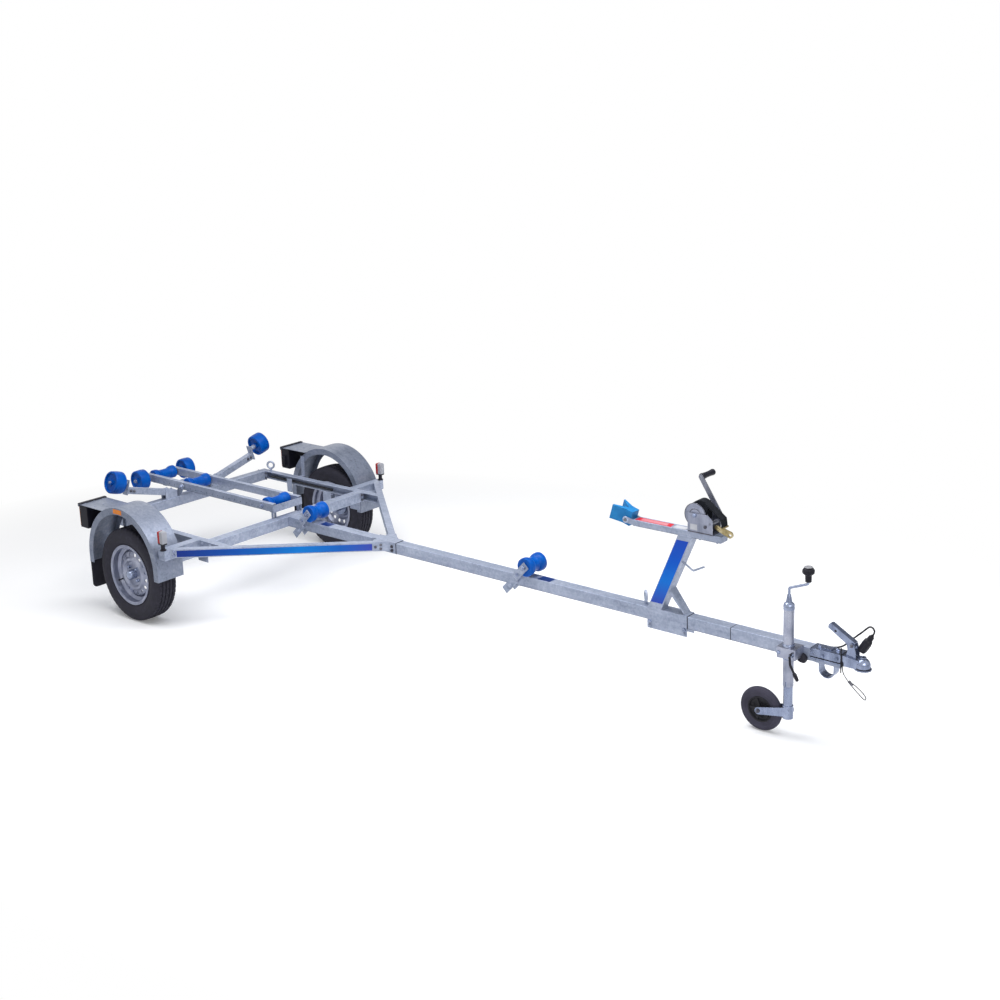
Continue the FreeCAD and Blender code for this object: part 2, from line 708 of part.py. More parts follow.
# The cradle hangs on ears on the rear crossbar and rests on seats on the front one
ear_y = cradle_out + side_gap
ear = side([(rear_bar_x - 26, frame_top), (rear_bar_x + 30, frame_top), (pivot_x + 16, cradle_z - 8),
            (pivot_x - 4, cradle_z + 16), (pivot_x - 22, cradle_z + 8)], ear_y, ear_y + plate + 1)
ear = fuse(ear, rod(17, V(pivot_x, ear_y, cradle_z), V(pivot_x, ear_y + plate + 1, cradle_z)))
pivot_pin = rod(pin_r, V(pivot_x, -ear_y - 14, cradle_z), V(pivot_x, ear_y + 14, cradle_z))
cradle_ears = fuse(ear, other(ear), pivot_pin)
seat_x0 = front_bar_x - bar / 2 + plate
seat_x1 = cradle_front - 2
seat_z = cradle_low - plate - rest_gap
rest = fuse(box(seat_x0, seat_x1, cradle_in, cradle_out, seat_z - plate, seat_z),
            box(seat_x0, seat_x1, cradle_in, cradle_in + plate, frame_top, seat_z - plate),
            box(seat_x0, seat_x1, cradle_out - plate, cradle_out, frame_top, seat_z - plate))

# Side arms and their wheels
slope = math.radians(arm_slope)
arm_u = V(0, math.cos(slope), math.sin(slope))
arm_n = V(0, -math.sin(slope), math.cos(slope))
foot_low = frame_top + plate
arm_start = V(rear_bar_x, arm_in, foot_low + 1 + arm_bar / 2 / math.cos(slope) + 2)
half_arm = arm_bar / 2


def arm_box(s0, s1, x0, x1, n0, n1):
    pts = [arm_start + arm_u * s + arm_n * n for s, n in ((s0, n0), (s1, n0), (s1, n1), (s0, n1))]
    return prism([V(rear_bar_x + x0, p.y, p.z) for p in pts], V(x1 - x0, 0, 0))


support = arm_box(0, arm_len, -half_arm, half_arm, -half_arm, half_arm)
support = support.cut(arm_box(0, arm_len, 3 - half_arm, half_arm - 3, 3 - half_arm, half_arm - 3))
head = arm_box(arm_len, arm_len + 6, -half_arm - 4, half_arm + 4, -half_arm - 8, side_wheel_rise + 22)
hub_at = arm_start + arm_u * arm_len + arm_n * side_wheel_rise
wheel_at = hub_at + arm_u * side_wheel_reach
wheel_edge = side_wheel_reach - side_wheel_w / 2
boss = rod(15, hub_at + arm_u * 6, hub_at + arm_u * (wheel_edge - 1))
side_pin = rod(pin_r, hub_at + arm_u * 6, hub_at + arm_u * (side_wheel_reach + side_wheel_w / 2 + 8))
support = fuse(support, head, boss, side_pin)
parts["side_arm_left"] = support
parts["side_arm_right"] = other(support)
side_wheel = wheel(side_wheel_r, side_wheel_w, wheel_at, arm_u)
parts["side_wheel_left"] = side_wheel
parts["side_wheel_right"] = other(side_wheel)
clip_y0, clip_y1 = arm_in - 10, arm_in + 80
clip = box(rear_bar_x - half_arm - plate, rear_bar_x + half_arm + plate,
           clip_y0, clip_y1, frame_top, foot_low)
cheek = prism([V(rear_bar_x + half_arm, y, z) for y, z in
               ((clip_y0, foot_low), (clip_y1, foot_low), (clip_y1, foot_low + 52),
                (clip_y1 - 24, foot_low + 62), (clip_y0, foot_low + 40))], V(plate, 0, 0))
far_cheek = cheek.translated(V(-arm_bar - plate, 0, 0))
arm_clip = fuse(clip, cheek, far_cheek)
parts["frame_brackets"] = group(cradle_ears, both(rest), both(arm_clip), *map(both, guard_brackets))

# Winch post, arm and bow stop
saddle_y = bar / 2 + plate
saddle = fuse(box(saddle_rear, saddle_front, -saddle_y, saddle_y, frame_top, frame_top + plate),
              box(saddle_rear, saddle_front, bar / 2, saddle_y, saddle_low, frame_top),
              box(saddle_rear, saddle_front, -saddle_y, -bar / 2, saddle_low, frame_top))
for x in (saddle_rear + 14, saddle_front - 14):
    z = bar_low - pin_r
    saddle = fuse(saddle, rod(pin_r, V(x, -saddle_y - 10, z), V(x, saddle_y + 10, z)))
post_foot = frame_top + plate
mast_low = mast_top - mast_h
lean_t = math.tan(math.radians(post_lean))
half_d = post_deep / 2 / math.cos(math.radians(post_lean))


def post_side(inset, y):
    a = half_d - inset / math.cos(math.radians(post_lean))
    x1 = post_x + (mast_low - post_foot) * lean_t
    corners = [(post_x - a, post_foot), (post_x + a, post_foot), (x1 + a, mast_low), (x1 - a, mast_low)]
    return side(corners, -y, y)


post = post_side(0, mast_w / 2).cut(post_side(bar_wall, mast_w / 2 - bar_wall))


def post_front(z):
    return post_x + half_d + (z - post_foot) * lean_t


brace_foot = saddle_front - 12
brace = side([(brace_foot - 8, post_foot), (brace_foot, post_foot), (post_front(brace_top) + 0.01, brace_top),
              (post_front(brace_top - 18), brace_top - 18)], -25, 25)
hook_at = V(post_front(hook_z), -hook_y, hook_z)
rope_hook = pipe(hook_bar, [hook_at - V(4, 0, -2.5), hook_at + V(56, 0, -33), hook_at + V(116, 0, -2)], 12)
parts["winch_post"] = fuse(saddle, post, brace, rope_hook)
eyes = [eye, other(eye), lashing_eye(post_eye_x, 0, frame_top, math.radians(post_eye_turn))]
parts["lashing_eyes"] = group(*eyes)

mast = tube(mast_w, mast_h, 2.5, mast_rear, mast_front, 0, mast_top - mast_h / 2)
mast = fuse(mast, box(mast_front, mast_front + 3, -mast_w / 2, mast_w / 2, mast_low, mast_top))
stop_z = mast_top - 5.0
ear_y0 = mast_w / 2
stop_ear = link(15, V(stop_x, 0, stop_z), 11, V(mast_rear + 24, 0, mast_low + 12), ear_y0, ear_y0 + plate)
stop_pin = rod(6, V(stop_x, -ear_y0 - plate - 6, stop_z), V(stop_x, ear_y0 + plate + 6, stop_z))
parts["winch_arm"] = fuse(mast, stop_ear, other(stop_ear), stop_pin)

# The bow stop: a V block with two pointed wings, tipped back on its pin
w2, neck_w, tail_x = stop_w / 2, ear_y0 - 1, stop_x - stop_rear
neck_rear, neck_front = stop_x - 16, stop_x + 24
tip_w = 10
stop = plan([(tail_x, -w2), (neck_rear, -neck_w), (neck_front, -neck_w), (neck_front, neck_w),
             (neck_rear, neck_w), (tail_x, w2), (tail_x, w2 - tip_w), (tail_x + stop_deep, 0),
             (tail_x, tip_w - w2)], stop_z - stop_under, stop_z - stop_under + stop_h)
stop = stop.cut(rod(6, V(stop_x, -w2, stop_z), V(stop_x, w2, stop_z)))
stop.rotate(V(stop_x, 0, stop_z), Y, stop_tilt)
parts["bow_stop"] = stop

# Winch, strap and crank
cheek_rear, cheek_front = drum_x - 38, shaft_x + 15
cheek_top = drum_z + 11


def winch_cheek(y0):
    return side([(cheek_rear, mast_top), (cheek_front, mast_top), (cheek_front, cheek_top - 22),
                 (cheek_front - 26, cheek_top), (cheek_rear, cheek_top)], y0, y0 + winch_sheet)


floor = box(cheek_rear, cheek_front, -winch_half - winch_sheet, winch_half + winch_sheet,
            mast_top, mast_top + winch_sheet)
spacer_z = mast_top + 38
spacer = rod(6, V(spacer_x, -winch_half - 8, spacer_z), V(spacer_x, winch_half + 8, spacer_z))
frame = fuse(floor, winch_cheek(winch_half), winch_cheek(-winch_half - winch_sheet),
             rod(16, V(shaft_x, winch_half + winch_sheet, shaft_z), V(shaft_x, winch_half + 14, shaft_z)))
frame = frame.cut(rod(shaft_r + run_fit, V(shaft_x, 0, shaft_z), V(shaft_x, 80, shaft_z)))
frame = frame.cut(rod(shaft_r - 4 + run_fit, V(shaft_x, -80, shaft_z), V(shaft_x, 0, shaft_z)))
drum_pin = rod(drum_pin_r, V(drum_x, -winch_half - 8, drum_z), V(drum_x, winch_half + 8, drum_z))
frame = fuse(frame, drum_pin, spacer)
drum_side = winch_half - 2
bore = rod(drum_pin_r + run_fit, V(drum_x, -60, drum_z), V(drum_x, 60, drum_z))
drum = fuse(rod(drum_core_r, V(drum_x, -drum_side, drum_z), V(drum_x, drum_side, drum_z)),
            *[rod(flange_r, V(drum_x, y, drum_z), V(drum_x, y + winch_sheet, drum_z))
              for y in (-drum_side, drum_side - winch_sheet)]).cut(bore)
drum = drum.cut(rod(8, V(spacer_x, -60, spacer_z), V(spacer_x, 60, spacer_z)))
parts["winch_frame"] = group(frame, drum)
half_s = strap_w / 2
crest = V(drum_x + 22, 0, drum_z + 34)
coil = link(coil_r, V(drum_x, 0, drum_z), coil_r - 16, crest, -half_s, half_s)
coil = coil.cut(rod(drum_core_r, V(drum_x, -half_s, drum_z), V(drum_x, half_s, drum_z)))
coil = coil.cut(rod(8, V(spacer_x, -60, spacer_z), V(spacer_x, 60, spacer_z)))
coil = coil.cut(rod(shaft_r + 3, V(shaft_x, -60, shaft_z), V(shaft_x, 60, shaft_z)))
leave = math.radians(62)
off = crest + V((coil_r - 16) * math.cos(leave), 0, (coil_r - 16) * math.sin(leave))
knee = V(drum_x + strap_reach - 5, 0, drum_z - 2)
drop = V(drum_x + strap_reach, 0, drum_z - 40)
tail = side([(off.x, off.z), (knee.x, knee.z), (drop.x, drop.z), (drop.x - strap_t, drop.z),
             (knee.x - strap_t, knee.z - 1), (off.x - 4, off.z - strap_t - 3)], -half_s, half_s)
parts["winch_strap"] = fuse(coil, tail)

# The strap's end runs round a bar, and the bar carries a flat forged hook with its eye in front
clip_at = V(drop.x - strap_t / 2, 0, drop.z - clip_bar)
hook_tail = clip_at - V(hook_len / 2, 0, 3)
hook_eye = hook_tail + V(hook_len, 0, -23)
hook_y0 = -hook_side - hook_t
strap_hook = fuse(rod(clip_bar, clip_at - V(0, half_s + 5, 0), clip_at + V(0, half_s + 5, 0)),
                  link(hook_tail_r, hook_tail, hook_eye_r, hook_eye, hook_y0, hook_y0 + hook_t))
hook_bore = rod(hook_bore_r, hook_eye - V(0, strap_w, 0), hook_eye + V(0, strap_w, 0))
parts["strap_hook"] = strap_hook.cut(hook_bore)
crank_y = winch_half + 38
t = math.radians(crank_angle)
tip = V(shaft_x + crank_len * math.cos(t), crank_y, shaft_z + crank_len * math.sin(t))
crank = fuse(link(13, V(shaft_x, 0, shaft_z), 12, V(tip.x, 0, tip.z), crank_y, crank_y + 6),
             rod(shaft_r, V(shaft_x, -winch_half + 1, shaft_z), V(shaft_x, crank_y + 14, shaft_z)),
             rod(shaft_r - 4, V(shaft_x, -winch_half - winch_sheet - 1, shaft_z), V(shaft_x, 0, shaft_z)),
             rod(5, tip, tip + V(0, 16, 0)))
parts["winch_crank"] = crank
grip = spin_wire([seg((0, 0), (grip_r - 4, 0)), arc((grip_r - 4, 0), (grip_r - 1, 2), (grip_r, 8)),
                  arc((grip_r, 8), (grip_r - 3, grip_len / 2), (grip_r - 1, grip_len - 10)),
                  arc((grip_r - 1, grip_len - 10), (grip_r - 4, grip_len - 2), (grip_r - 9, grip_len)),
                  seg((grip_r - 9, grip_len), (0, grip_len)), seg((0, grip_len), (0, 0))],
                 tip + V(0, 6, 0))
parts["crank_grip"] = grip.cut(rod(5, tip, tip + V(0, 16, 0)))

# Jack and jockey wheel
jack = V(jack_x, jack_y, 0)


def upright(r, z0, z1):
    return rod(r, jack + V(0, 0, z0), jack + V(0, 0, z1))


jack_in = jack_r - jack_wall
outer = upright(jack_r, jack_low, jack_top).cut(upright(jack_in, jack_low, jack_top - 6))
outer = outer.cut(box(jack_x - 4, jack_x + 4, jack_y - 40, jack_y, jack_low, jack_low + 26))
cap = fuse(upright(jack_r - 3, jack_top, jack_top + 5), upright(11, jack_top + 5, jack_top + 26))
spindle = upright(spindle_r, jack_low + 30, jack_top - 6)
parts["jack_tube"] = fuse(outer, cap, spindle)
clamp = box(jack_x - clamp_len / 2, jack_x + clamp_len / 2, jack_y - jack_r - 4, -bar / 2,
            clamp_low, clamp_top)
clamp = clamp.cut(upright(jack_r, clamp_low, clamp_top))
parts["jack_clamp"] = clamp.makeFillet(6, [e for e in clamp.Edges if e.BoundBox.YMax < jack_y - jack_r
                                           and e.BoundBox.ZLength > 10])
handle_y = jack_y - jack_r - 4
clamp_lever = pipe(5, [V(jack_x + 30, handle_y, clamp_low + 30),
                       V(jack_x + 30, handle_y - 22, clamp_low + 30),
                       V(jack_x + 36, handle_y - 24, clamp_low - 10),
                       V(jack_x + 56, handle_y - 24, clamp_low - 46)], 9)
lever_tip = V(jack_x + 56, handle_y - 24, clamp_low - 46)
tip_dir = V(20, 0, -36).normalize()
tip_cap = spin([(0, 0), (8, 0), (9.5, 10), (8, 34), (3, 38), (0, 38)], lever_tip, tip_dir)
turn = V(jack_x, jack_y, jack_top + 26)
bend_at = turn + V(0, 0, 52)
out_at = turn + V(92, 0, 88)
knob_at = turn + V(92, 0, 99)
jack_crank = pipe(6, [turn, bend_at, out_at, knob_at + V(0, 0, 24)], 12)
knob = spin([(6, 0), (14, 0), (15, 30), (26, 40), (27, 54), (22, 62), (9, 67), (0, 68), (0, 24), (6, 24)],
            knob_at, V(0, 0, 1))
parts["jack_knobs"] = group(tip_cap, knob)

leg_r = jack_in - leg_gap
nut = upright(leg_r, leg_top + leg_gap, leg_top + 26).cut(upright(spindle_r + run_fit, leg_top, leg_top + 30))
parts["jack_nut"] = nut
fork_y = leg_r + 0.6
axle_at = V(jockey_x, jack_y, jockey_z)
leg = upright(leg_r, leg_low, leg_top).cut(upright(leg_r - 3, leg_low + 4, leg_top))
fork_root = V(jack_x - 4, jack_y, leg_low + 34)


def fork_plate(turned):
    """One plate of the fork, splayed from the leg so that it clears the wheel."""
    y0 = jack_y + fork_y if turned < 0 else jack_y - fork_y - fork_t
    one = link(fork_h / 2 - 4, V(jockey_x, 0, jockey_z), fork_h / 2, V(fork_root.x, 0, fork_root.z),
               y0, y0 + fork_t)
    one.rotate(fork_root, Z, turned)
    return one


fork = [fork_plate(fork_splay), fork_plate(-fork_splay)]
yoke = upright(leg_r + collar_t, leg_low, leg_low + 62).cut(upright(leg_r - 3, leg_low, leg_top))
yoke = yoke.cut(box(jack_x - 60, jack_x - leg_r - 2, jack_y - 60, jack_y + 60, leg_low, leg_low + 80))
pin_end = jockey_w / 2 + 18
wheel_pin = rod(6, axle_at - V(0, pin_end, 0), axle_at + V(0, pin_end, 0))
parts["jack_leg"] = fuse(leg, yoke, *fork, wheel_pin)
h = jockey_w / 2
tread = [seg((62, h - 8), (84, h - 3)), arc((84, h - 3), (97, h - 8), (jockey_r - 3, h - 14)),
         arc((jockey_r - 3, h - 14), (jockey_r, 0), (jockey_r - 3, 14 - h)),
         arc((jockey_r - 3, 14 - h), (97, 8 - h), (84, 3 - h)), seg((84, 3 - h), (62, 8 - h)),
         seg((62, 8 - h), (62, h - 8))]
parts["jockey_tyre"] = spin_wire(tread, axle_at)
centre = spin([(6 + run_fit, h + 3), (14, h + 3), (16, 8), (52, 8), (56, h - 8), (62, h - 8), (62, 8 - h),
               (56, 8 - h), (52, -8), (16, -8), (14, -h - 3), (6 + run_fit, -h - 3)], axle_at)
for i in range(5):
    a = 2 * math.pi * i / 5
    c = axle_at + V(34 * math.cos(a), -30, 34 * math.sin(a))
    centre = centre.cut(rod(9, c, c + V(0, 60, 0)))
parts["jockey_hub"] = centre

# Ball coupling, lever and cable hoop
skirt_y = bar / 2 + coupling_wall
top = frame_top + coupling_wall
shell = box(coupling_rear, drawbar_end + 8, -skirt_y, skirt_y, frame_top - coupling_skirt, top)
shell = shell.cut(box(coupling_rear, drawbar_end + 8, -bar / 2, bar / 2, 0, frame_top))
cup_r = ball_r + cup_wall
cup_top = cup_low + cup_r + 12


def neck(grow, low):
    """The coupling's neck, from the channel round the drawbar to the cup."""
    ends = [Part.makePolygon([V(x, -w, z0), V(x, w, z0), V(x, w, z1), V(x, -w, z1), V(x, -w, z0)])
            for x, w, z0, z1 in (
                (drawbar_end + 8, skirt_y + grow, frame_top - coupling_skirt - low, top + grow),
                (ball_x - 8, cup_r - 5 + grow, cup_low + 4 - low, cup_top + grow))]
    return Part.makeLoft(ends, True, True)


ball_z = cup_low + ball_r - 4
dome = fuse(rod(cup_r, V(ball_x, 0, cup_low), V(ball_x, 0, ball_z)),
            Part.makeSphere(cup_r, V(ball_x, 0, ball_z)))
dome = dome.cut(box(ball_x - 60, ball_x + 60, -60, 60, cup_low - 60, cup_low))
lip = rod(nose_r, V(ball_x, 0, cup_low), V(ball_x, 0, cup_low + nose_t))
cavity = fuse(Part.makeSphere(ball_r + 0.5, V(ball_x, 0, ball_z)),
              rod(ball_r + 0.5, V(ball_x, 0, cup_low - 1), V(ball_x, 0, ball_z)))
horn_y = lever_w / 2 + 3
horn = [side([(drawbar_end + 16, top - 6), (drawbar_end + 64, top - 10), (drawbar_end + 64, top + 12),
              (pivot_x1 + 12, pivot_z1 + 4), (pivot_x1, pivot_z1 + 12), (pivot_x1 - 14, pivot_z1 + 4),
              (drawbar_end + 22, top + 14)], y, y + 3) for y in (-horn_y - 3, horn_y)]
pivot_pin = rod(5, V(pivot_x1, -horn_y - 6, pivot_z1), V(pivot_x1, horn_y + 6, pivot_z1))
neck_shell = neck(0, 0).cut(neck(-coupling_wall, 20))
coupling = fuse(shell, neck_shell, dome, lip, *horn, pivot_pin).cut(cavity)


def lever_side(inset):
    """The release lever from the side: a handle that widens into a plate round its pin."""
    w = lever_deep / 2 - inset
    d = V(pivot_x1 - grip_x, 0, pivot_z1 - grip_z).normalize()
    n = V(-d.z, 0, d.x)
    tip_c, mid = V(grip_x, 0, grip_z), V(pivot_x1 - 22, 0, pivot_z1 + 16)
    pts = [tip_c + n * w - d * (4 - inset), mid + n * w, V(pivot_x1 + 12 - inset, 0, pivot_z1 + 14 - inset),
           V(pivot_x1 + 12 - inset, 0, pivot_z1 - 30), V(pivot_x1 - 22 + inset, 0, pivot_z1 - 30),
           V(pivot_x1 - 26 + inset, 0, pivot_z1 - 2), mid - n * w, tip_c - n * (w - 4) - d * 10]
    return [(q.x, q.z) for q in pts]


lever = side(lever_side(0), -lever_w / 2, lever_w / 2)
lever = lever.cut(side([(x, z - 3) for x, z in lever_side(0)], -lever_w / 2 + 2, lever_w / 2 - 2))
lever = lever.cut(rod(5, V(pivot_x1, -60, pivot_z1), V(pivot_x1, 60, pivot_z1)))
parts["handles"] = group(jack_crank, clamp_lever, lever)
hoop_half = hoop_w / 2


def hoop_outline(r):
    return fuse(rod(r, V(hoop_x, -hoop_half, hoop_z), V(hoop_x, hoop_half, hoop_z)),
                box(hoop_x - r, hoop_x + r, -hoop_half, hoop_half, hoop_z, bar_low))


hoop = hoop_outline(hoop_r).cut(hoop_outline(hoop_r - plate)).cut(box(hoop_x - hoop_r, hoop_x + hoop_r,
                                                                     -60, 60, bar_low, bar_low + 60))
foot = box(hoop_x - hoop_r - 18, hoop_x - hoop_r + plate, -hoop_half, hoop_half, bar_low - plate, bar_low)
hoop = fuse(hoop, foot, foot.translated(V(2 * hoop_r + 14, 0, 0)))
parts["coupling"] = group(coupling, hoop)

# Lamp lead, safety wire and lamp cable
lead_r, wire_r, loom_r = 4.0, 2.1, 7.0
fold = 20.0
gland = V(3885, bar / 2 + 6, 196)
lead_out = V(3924, 58.5, 198)
gland_dir = (lead_out - gland).normalize()
boss = spin([(0, -24), (9, -24), (9, 8), (6.5, 16), (lead_r, 16), (lead_r, 0), (0, 0)], gland, gland_dir)
boss = boss.cut(box(gland.x - 60, gland.x + 60, -60, bar / 2, gland.z - 30, gland.z + 30))
plug_top = V(4226, 8, 333)
plug_dir = V(-math.sin(math.radians(31)), 0, -math.cos(math.radians(31)))
plug = spin([(0, 0), (6, 0), (8, 6), (11, 12), (12.5, 30), (18, 36), (19.5, 44), (19.5, 92), (17.5, 98),
             (0, 98)], plug_top, plug_dir)
loop = [V(plug_top.x - 12 + fold * math.cos(math.radians(a)), y,
          plug_top.z + 15 + fold * math.sin(math.radians(a)))
        for a, y in ((106, 12), (74, 11), (42, 10), (10, 9))] + [plug_top - plug_dir * 10]
parts["lead"] = cord("lead", lead_r, [gland, lead_out, V(3975, 62, 203), V(4030, 57, 211),
                                     V(4072, 46, 232), V(4104, 34, 266), V(4140, 24, 301),
                                     V(4172, 18, 331), V(4190, 14.5, 350)] + loop + [plug_top])
shelf_at = rail_out - rail_wall - loom_r
loom_z = rail_low + rail_wall + loom_r
parts["loom"] = cord("loom", loom_r, [V(-440, shelf_at - 3, loom_z + 0.3), V(-342, shelf_at - 5, loom_z + 1),
                                     V(-238, shelf_at - 1, loom_z + 0.5), V(-140, shelf_at - 4, loom_z + 2),
                                     V(-44, shelf_at - 0.5, loom_z + 0.4), V(60, shelf_at - 3, loom_z + 1.5),
                                     V(160, shelf_at - 1, loom_z + 0.3)])
tie_in = skirt_y
band = box(tie_x - 2.5, tie_x + 2.5, -tie_in - 1.5, tie_in + 1.5, frame_top - coupling_skirt - 5, top + 1.5)
band = band.cut(box(tie_x - 3, tie_x + 3, -tie_in, tie_in, frame_top - coupling_skirt - 3.5, top))
head = box(tie_x - 4, tie_x + 4, -tie_in - 7, -tie_in - 1.5, 186, 194)
head = fuse(head, box(tie_x - 2.5, tie_x + 2.5, -tie_in - 6, -tie_in - 3.5, 142, 260))
parts["lead_fittings"] = group(plug, boss, fuse(band, head))
wire_y = -tie_in - 4
parts["safety_wire"] = cord("safety_wire", wire_r, [
    V(tie_x + 4 + wire_r, wire_y, 190), V(tie_x + 4.4 + wire_r, wire_y - 0.4, 166), V(4113, wire_y - 1, 143),
    V(4130, wire_y - 1.6, 121), V(4150, wire_y - 2, 100), V(4173, wire_y - 3, 80), V(4197, wire_y - 4, 61),
    V(4212, wire_y - 5, 50), V(4222, wire_y - 5.6, 47), V(4226, wire_y - 5.4, 56), V(4221, wire_y - 4.8, 66),
    V(4203, wire_y - 3.8, 82), V(4180, wire_y - 3, 97), V(4160, wire_y - 2.6, 108)])

# Lean it until the jockey wheel meets the ground, and set the origin
span, drop = V(jockey_x, 0, jockey_z).Length, math.atan2(jockey_z, jockey_x)
lean = drop - math.asin((jockey_r - tyre_r) / span)
for shape in parts.values():
    shape.rotate(O, Y, math.degrees(lean))
nose = parts["coupling"].optimalBoundingBox().XMax
tail_end = parts["cradle_wheel_left"].optimalBoundingBox().XMin
shift = V(-(nose + tail_end) / 2, 0, tyre_r)
print("lean", round(math.degrees(lean), 5), "shift", round(shift.x, 4), round(shift.z, 4))
os.makedirs("parts", exist_ok=True)
for name, shape in parts.items():
    shape.translate(shift)
    shape.exportStep("parts/" + name + ".step")
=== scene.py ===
import json
import math
import random

import bmesh
import bpy
from mathutils import Matrix, Vector


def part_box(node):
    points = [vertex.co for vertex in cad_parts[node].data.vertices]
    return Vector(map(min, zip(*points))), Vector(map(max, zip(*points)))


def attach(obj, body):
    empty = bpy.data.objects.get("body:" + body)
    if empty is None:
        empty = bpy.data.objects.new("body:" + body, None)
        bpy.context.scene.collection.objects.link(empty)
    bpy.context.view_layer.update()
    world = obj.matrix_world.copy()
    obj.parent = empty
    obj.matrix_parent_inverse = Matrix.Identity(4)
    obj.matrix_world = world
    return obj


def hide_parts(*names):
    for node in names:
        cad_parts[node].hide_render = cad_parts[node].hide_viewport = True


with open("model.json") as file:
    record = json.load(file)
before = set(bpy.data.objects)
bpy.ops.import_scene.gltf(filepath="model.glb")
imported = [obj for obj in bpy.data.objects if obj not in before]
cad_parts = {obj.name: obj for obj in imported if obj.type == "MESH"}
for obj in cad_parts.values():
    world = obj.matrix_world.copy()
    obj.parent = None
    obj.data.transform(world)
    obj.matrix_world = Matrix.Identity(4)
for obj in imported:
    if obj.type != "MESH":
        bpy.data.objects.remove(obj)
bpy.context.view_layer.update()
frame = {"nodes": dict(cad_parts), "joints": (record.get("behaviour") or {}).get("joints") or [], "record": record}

random.seed(7)

# The trailer's own level frame, in millimetres: x forward from the axle, y to the left, z up.
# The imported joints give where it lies: the jack's slide is its z axis, a wheel joint its origin.
joints = {j["name"]: j for j in frame["joints"]}
UP = Vector(joints["jack_slide"]["axis"])
WHEEL = joints["wheel_left_spin"]["pos_m"]
MM = 0.001
LEVEL = Matrix(((UP.z, 0, UP.x, WHEEL[0]), (0, 1, 0, 0), (-UP.x, 0, UP.z, WHEEL[2]), (0, 0, 0, 1)))
LEVEL_MM = LEVEL @ Matrix.Scale(MM, 4)
X, Y, Z = Vector((1, 0, 0)), Vector((0, 1, 0)), Vector((0, 0, 1))
SIDES = (("left", 1), ("right", -1))

# Sizes that the added pieces share with the frame, in millimetres
WHEEL_Y = WHEEL[1] / MM
TYRE_R, BEAD_R, TREAD_HALF, TYRE_HALF = 281, 168, 56, 74
RIM_FACE, WHEEL_BOLTS, WHEEL_BOLTS_R = 30, 4, 50
VALVE_R, VALVE_ANGLE = 141, math.radians(205)
FRAME_TOP, BAR = 220, 60
BAR_LOW, BAR_HALF = FRAME_TOP - BAR, BAR / 2
PLATE = 4
PLATE_Y = BAR_HALF + PLATE
RAIL_IN, RAIL_OUT = 590, 630
RAIL_PLATE_Y = RAIL_IN - PLATE
CROSSBARS = ((-530, -470), (407, 467))
DIAG_START, DIAG_END = Vector((376, 842, 0)), Vector((1322, 34, 0))
DIAG_U = (DIAG_END - DIAG_START).normalized()
DIAG_LONG = (DIAG_END - DIAG_START).length
SADDLE_FRONT, COLLAR_FRONT, BAR_SEAM = 3305, 1373, 3540
KEEL_ROLLER_X = (686, 2340)
POST_X, POST_FOOT, POST_HALF, POST_SLOPE = 3120, 224, 38.2, math.tan(math.radians(23.7))
MAST_TOP, MAST_LOW = 650, 620
CRADLE_REAR, CRADLE_FRONT, CRADLE_IN, CRADLE_OUT = -835, 430, 89, 114
SIDE_ARM, ARM_SLOPE = Vector((-500, 150, 247.8)), math.radians(15.5)
PIVOT_X, FRONT_PIN_X = -446, 329
WINCH_Y, COUPLING_Y, COUPLING_TOP = 37, 33, 223
DRUM, SHAFT = Vector((3352, 0, 735)), Vector((3434, 0, 706))
JACK, JOCKEY_AXLE = Vector((3871, -84.5, 0)), Vector((3737, -84.5, -107))
PLUG, PLUG_LEAN = Vector((4226, 8, 333)), math.radians(31)


def post_x(z):
    """The middle of the leaning winch post at a height."""
    return POST_X + (z - POST_FOOT) * POST_SLOPE


def diagonal_out(side):
    """The direction that a diagonal's outer face looks in."""
    return Vector((-DIAG_U.y, side * DIAG_U.x, 0))


def diagonal_point(side, along, z, proud=0):
    """A point on a diagonal's outer face: along it from the rail, up, and proud of the face."""
    at = DIAG_START + DIAG_U * along
    return Vector((at.x, side * at.y, z)) + diagonal_out(side) * proud


# Bodies of mesh code
def square_to(axis):
    """Two directions square to an axis."""
    side = axis.cross(Z if abs(axis.z) < 0.9 else X).normalized()
    return side, axis.cross(side).normalized()


def lathe(bm, profile, centre, axis, steps=40, index=0, turn=0.0):
    """Turn a profile of (radius, distance) points about an axis."""
    axis = Vector(axis).normalized()
    u, v = square_to(axis)
    angles = [turn + 2 * math.pi * i / steps for i in range(steps)]
    rings = []
    for r, s in profile:
        base = Vector(centre) + axis * s
        if r:
            rings.append([bm.verts.new(base + (u * math.cos(a) + v * math.sin(a)) * r) for a in angles])
        else:
            rings.append([bm.verts.new(base)])
    for a, b in zip(rings, rings[1:]):
        for i in range(steps):
            j = (i + 1) % steps
            corners = [a[i % len(a)], a[j % len(a)], b[j % len(b)], b[i % len(b)]]
            unique = list(dict.fromkeys(corners))
            if len(unique) > 2:
                bm.faces.new(unique).material_index = index


def slab(bm, outline, thick, index=0):
    """A flat plate: an outline of points, and a vector for its thickness."""
    low = [bm.verts.new(Vector(p)) for p in outline]
    high = [bm.verts.new(Vector(p) + thick) for p in outline]
    faces = [bm.faces.new(low[::-1]), bm.faces.new(high)]
    for i in range(len(low)):
        j = (i + 1) % len(low)
        faces.append(bm.faces.new((low[i], low[j], high[j], high[i])))
    for f in faces:
        f.material_index = index


def side_strip(bm, side, face, x, z, proud, index=0):
    """A rectangle that stands proud of a face that looks sideways; x and z are its ends."""
    y = side * face
    outline = [(x[0], y, z[0]), (x[1], y, z[0]), (x[1], y, z[1]), (x[0], y, z[1])]
    slab(bm, outline, Vector((0, side * proud, 0)), index)


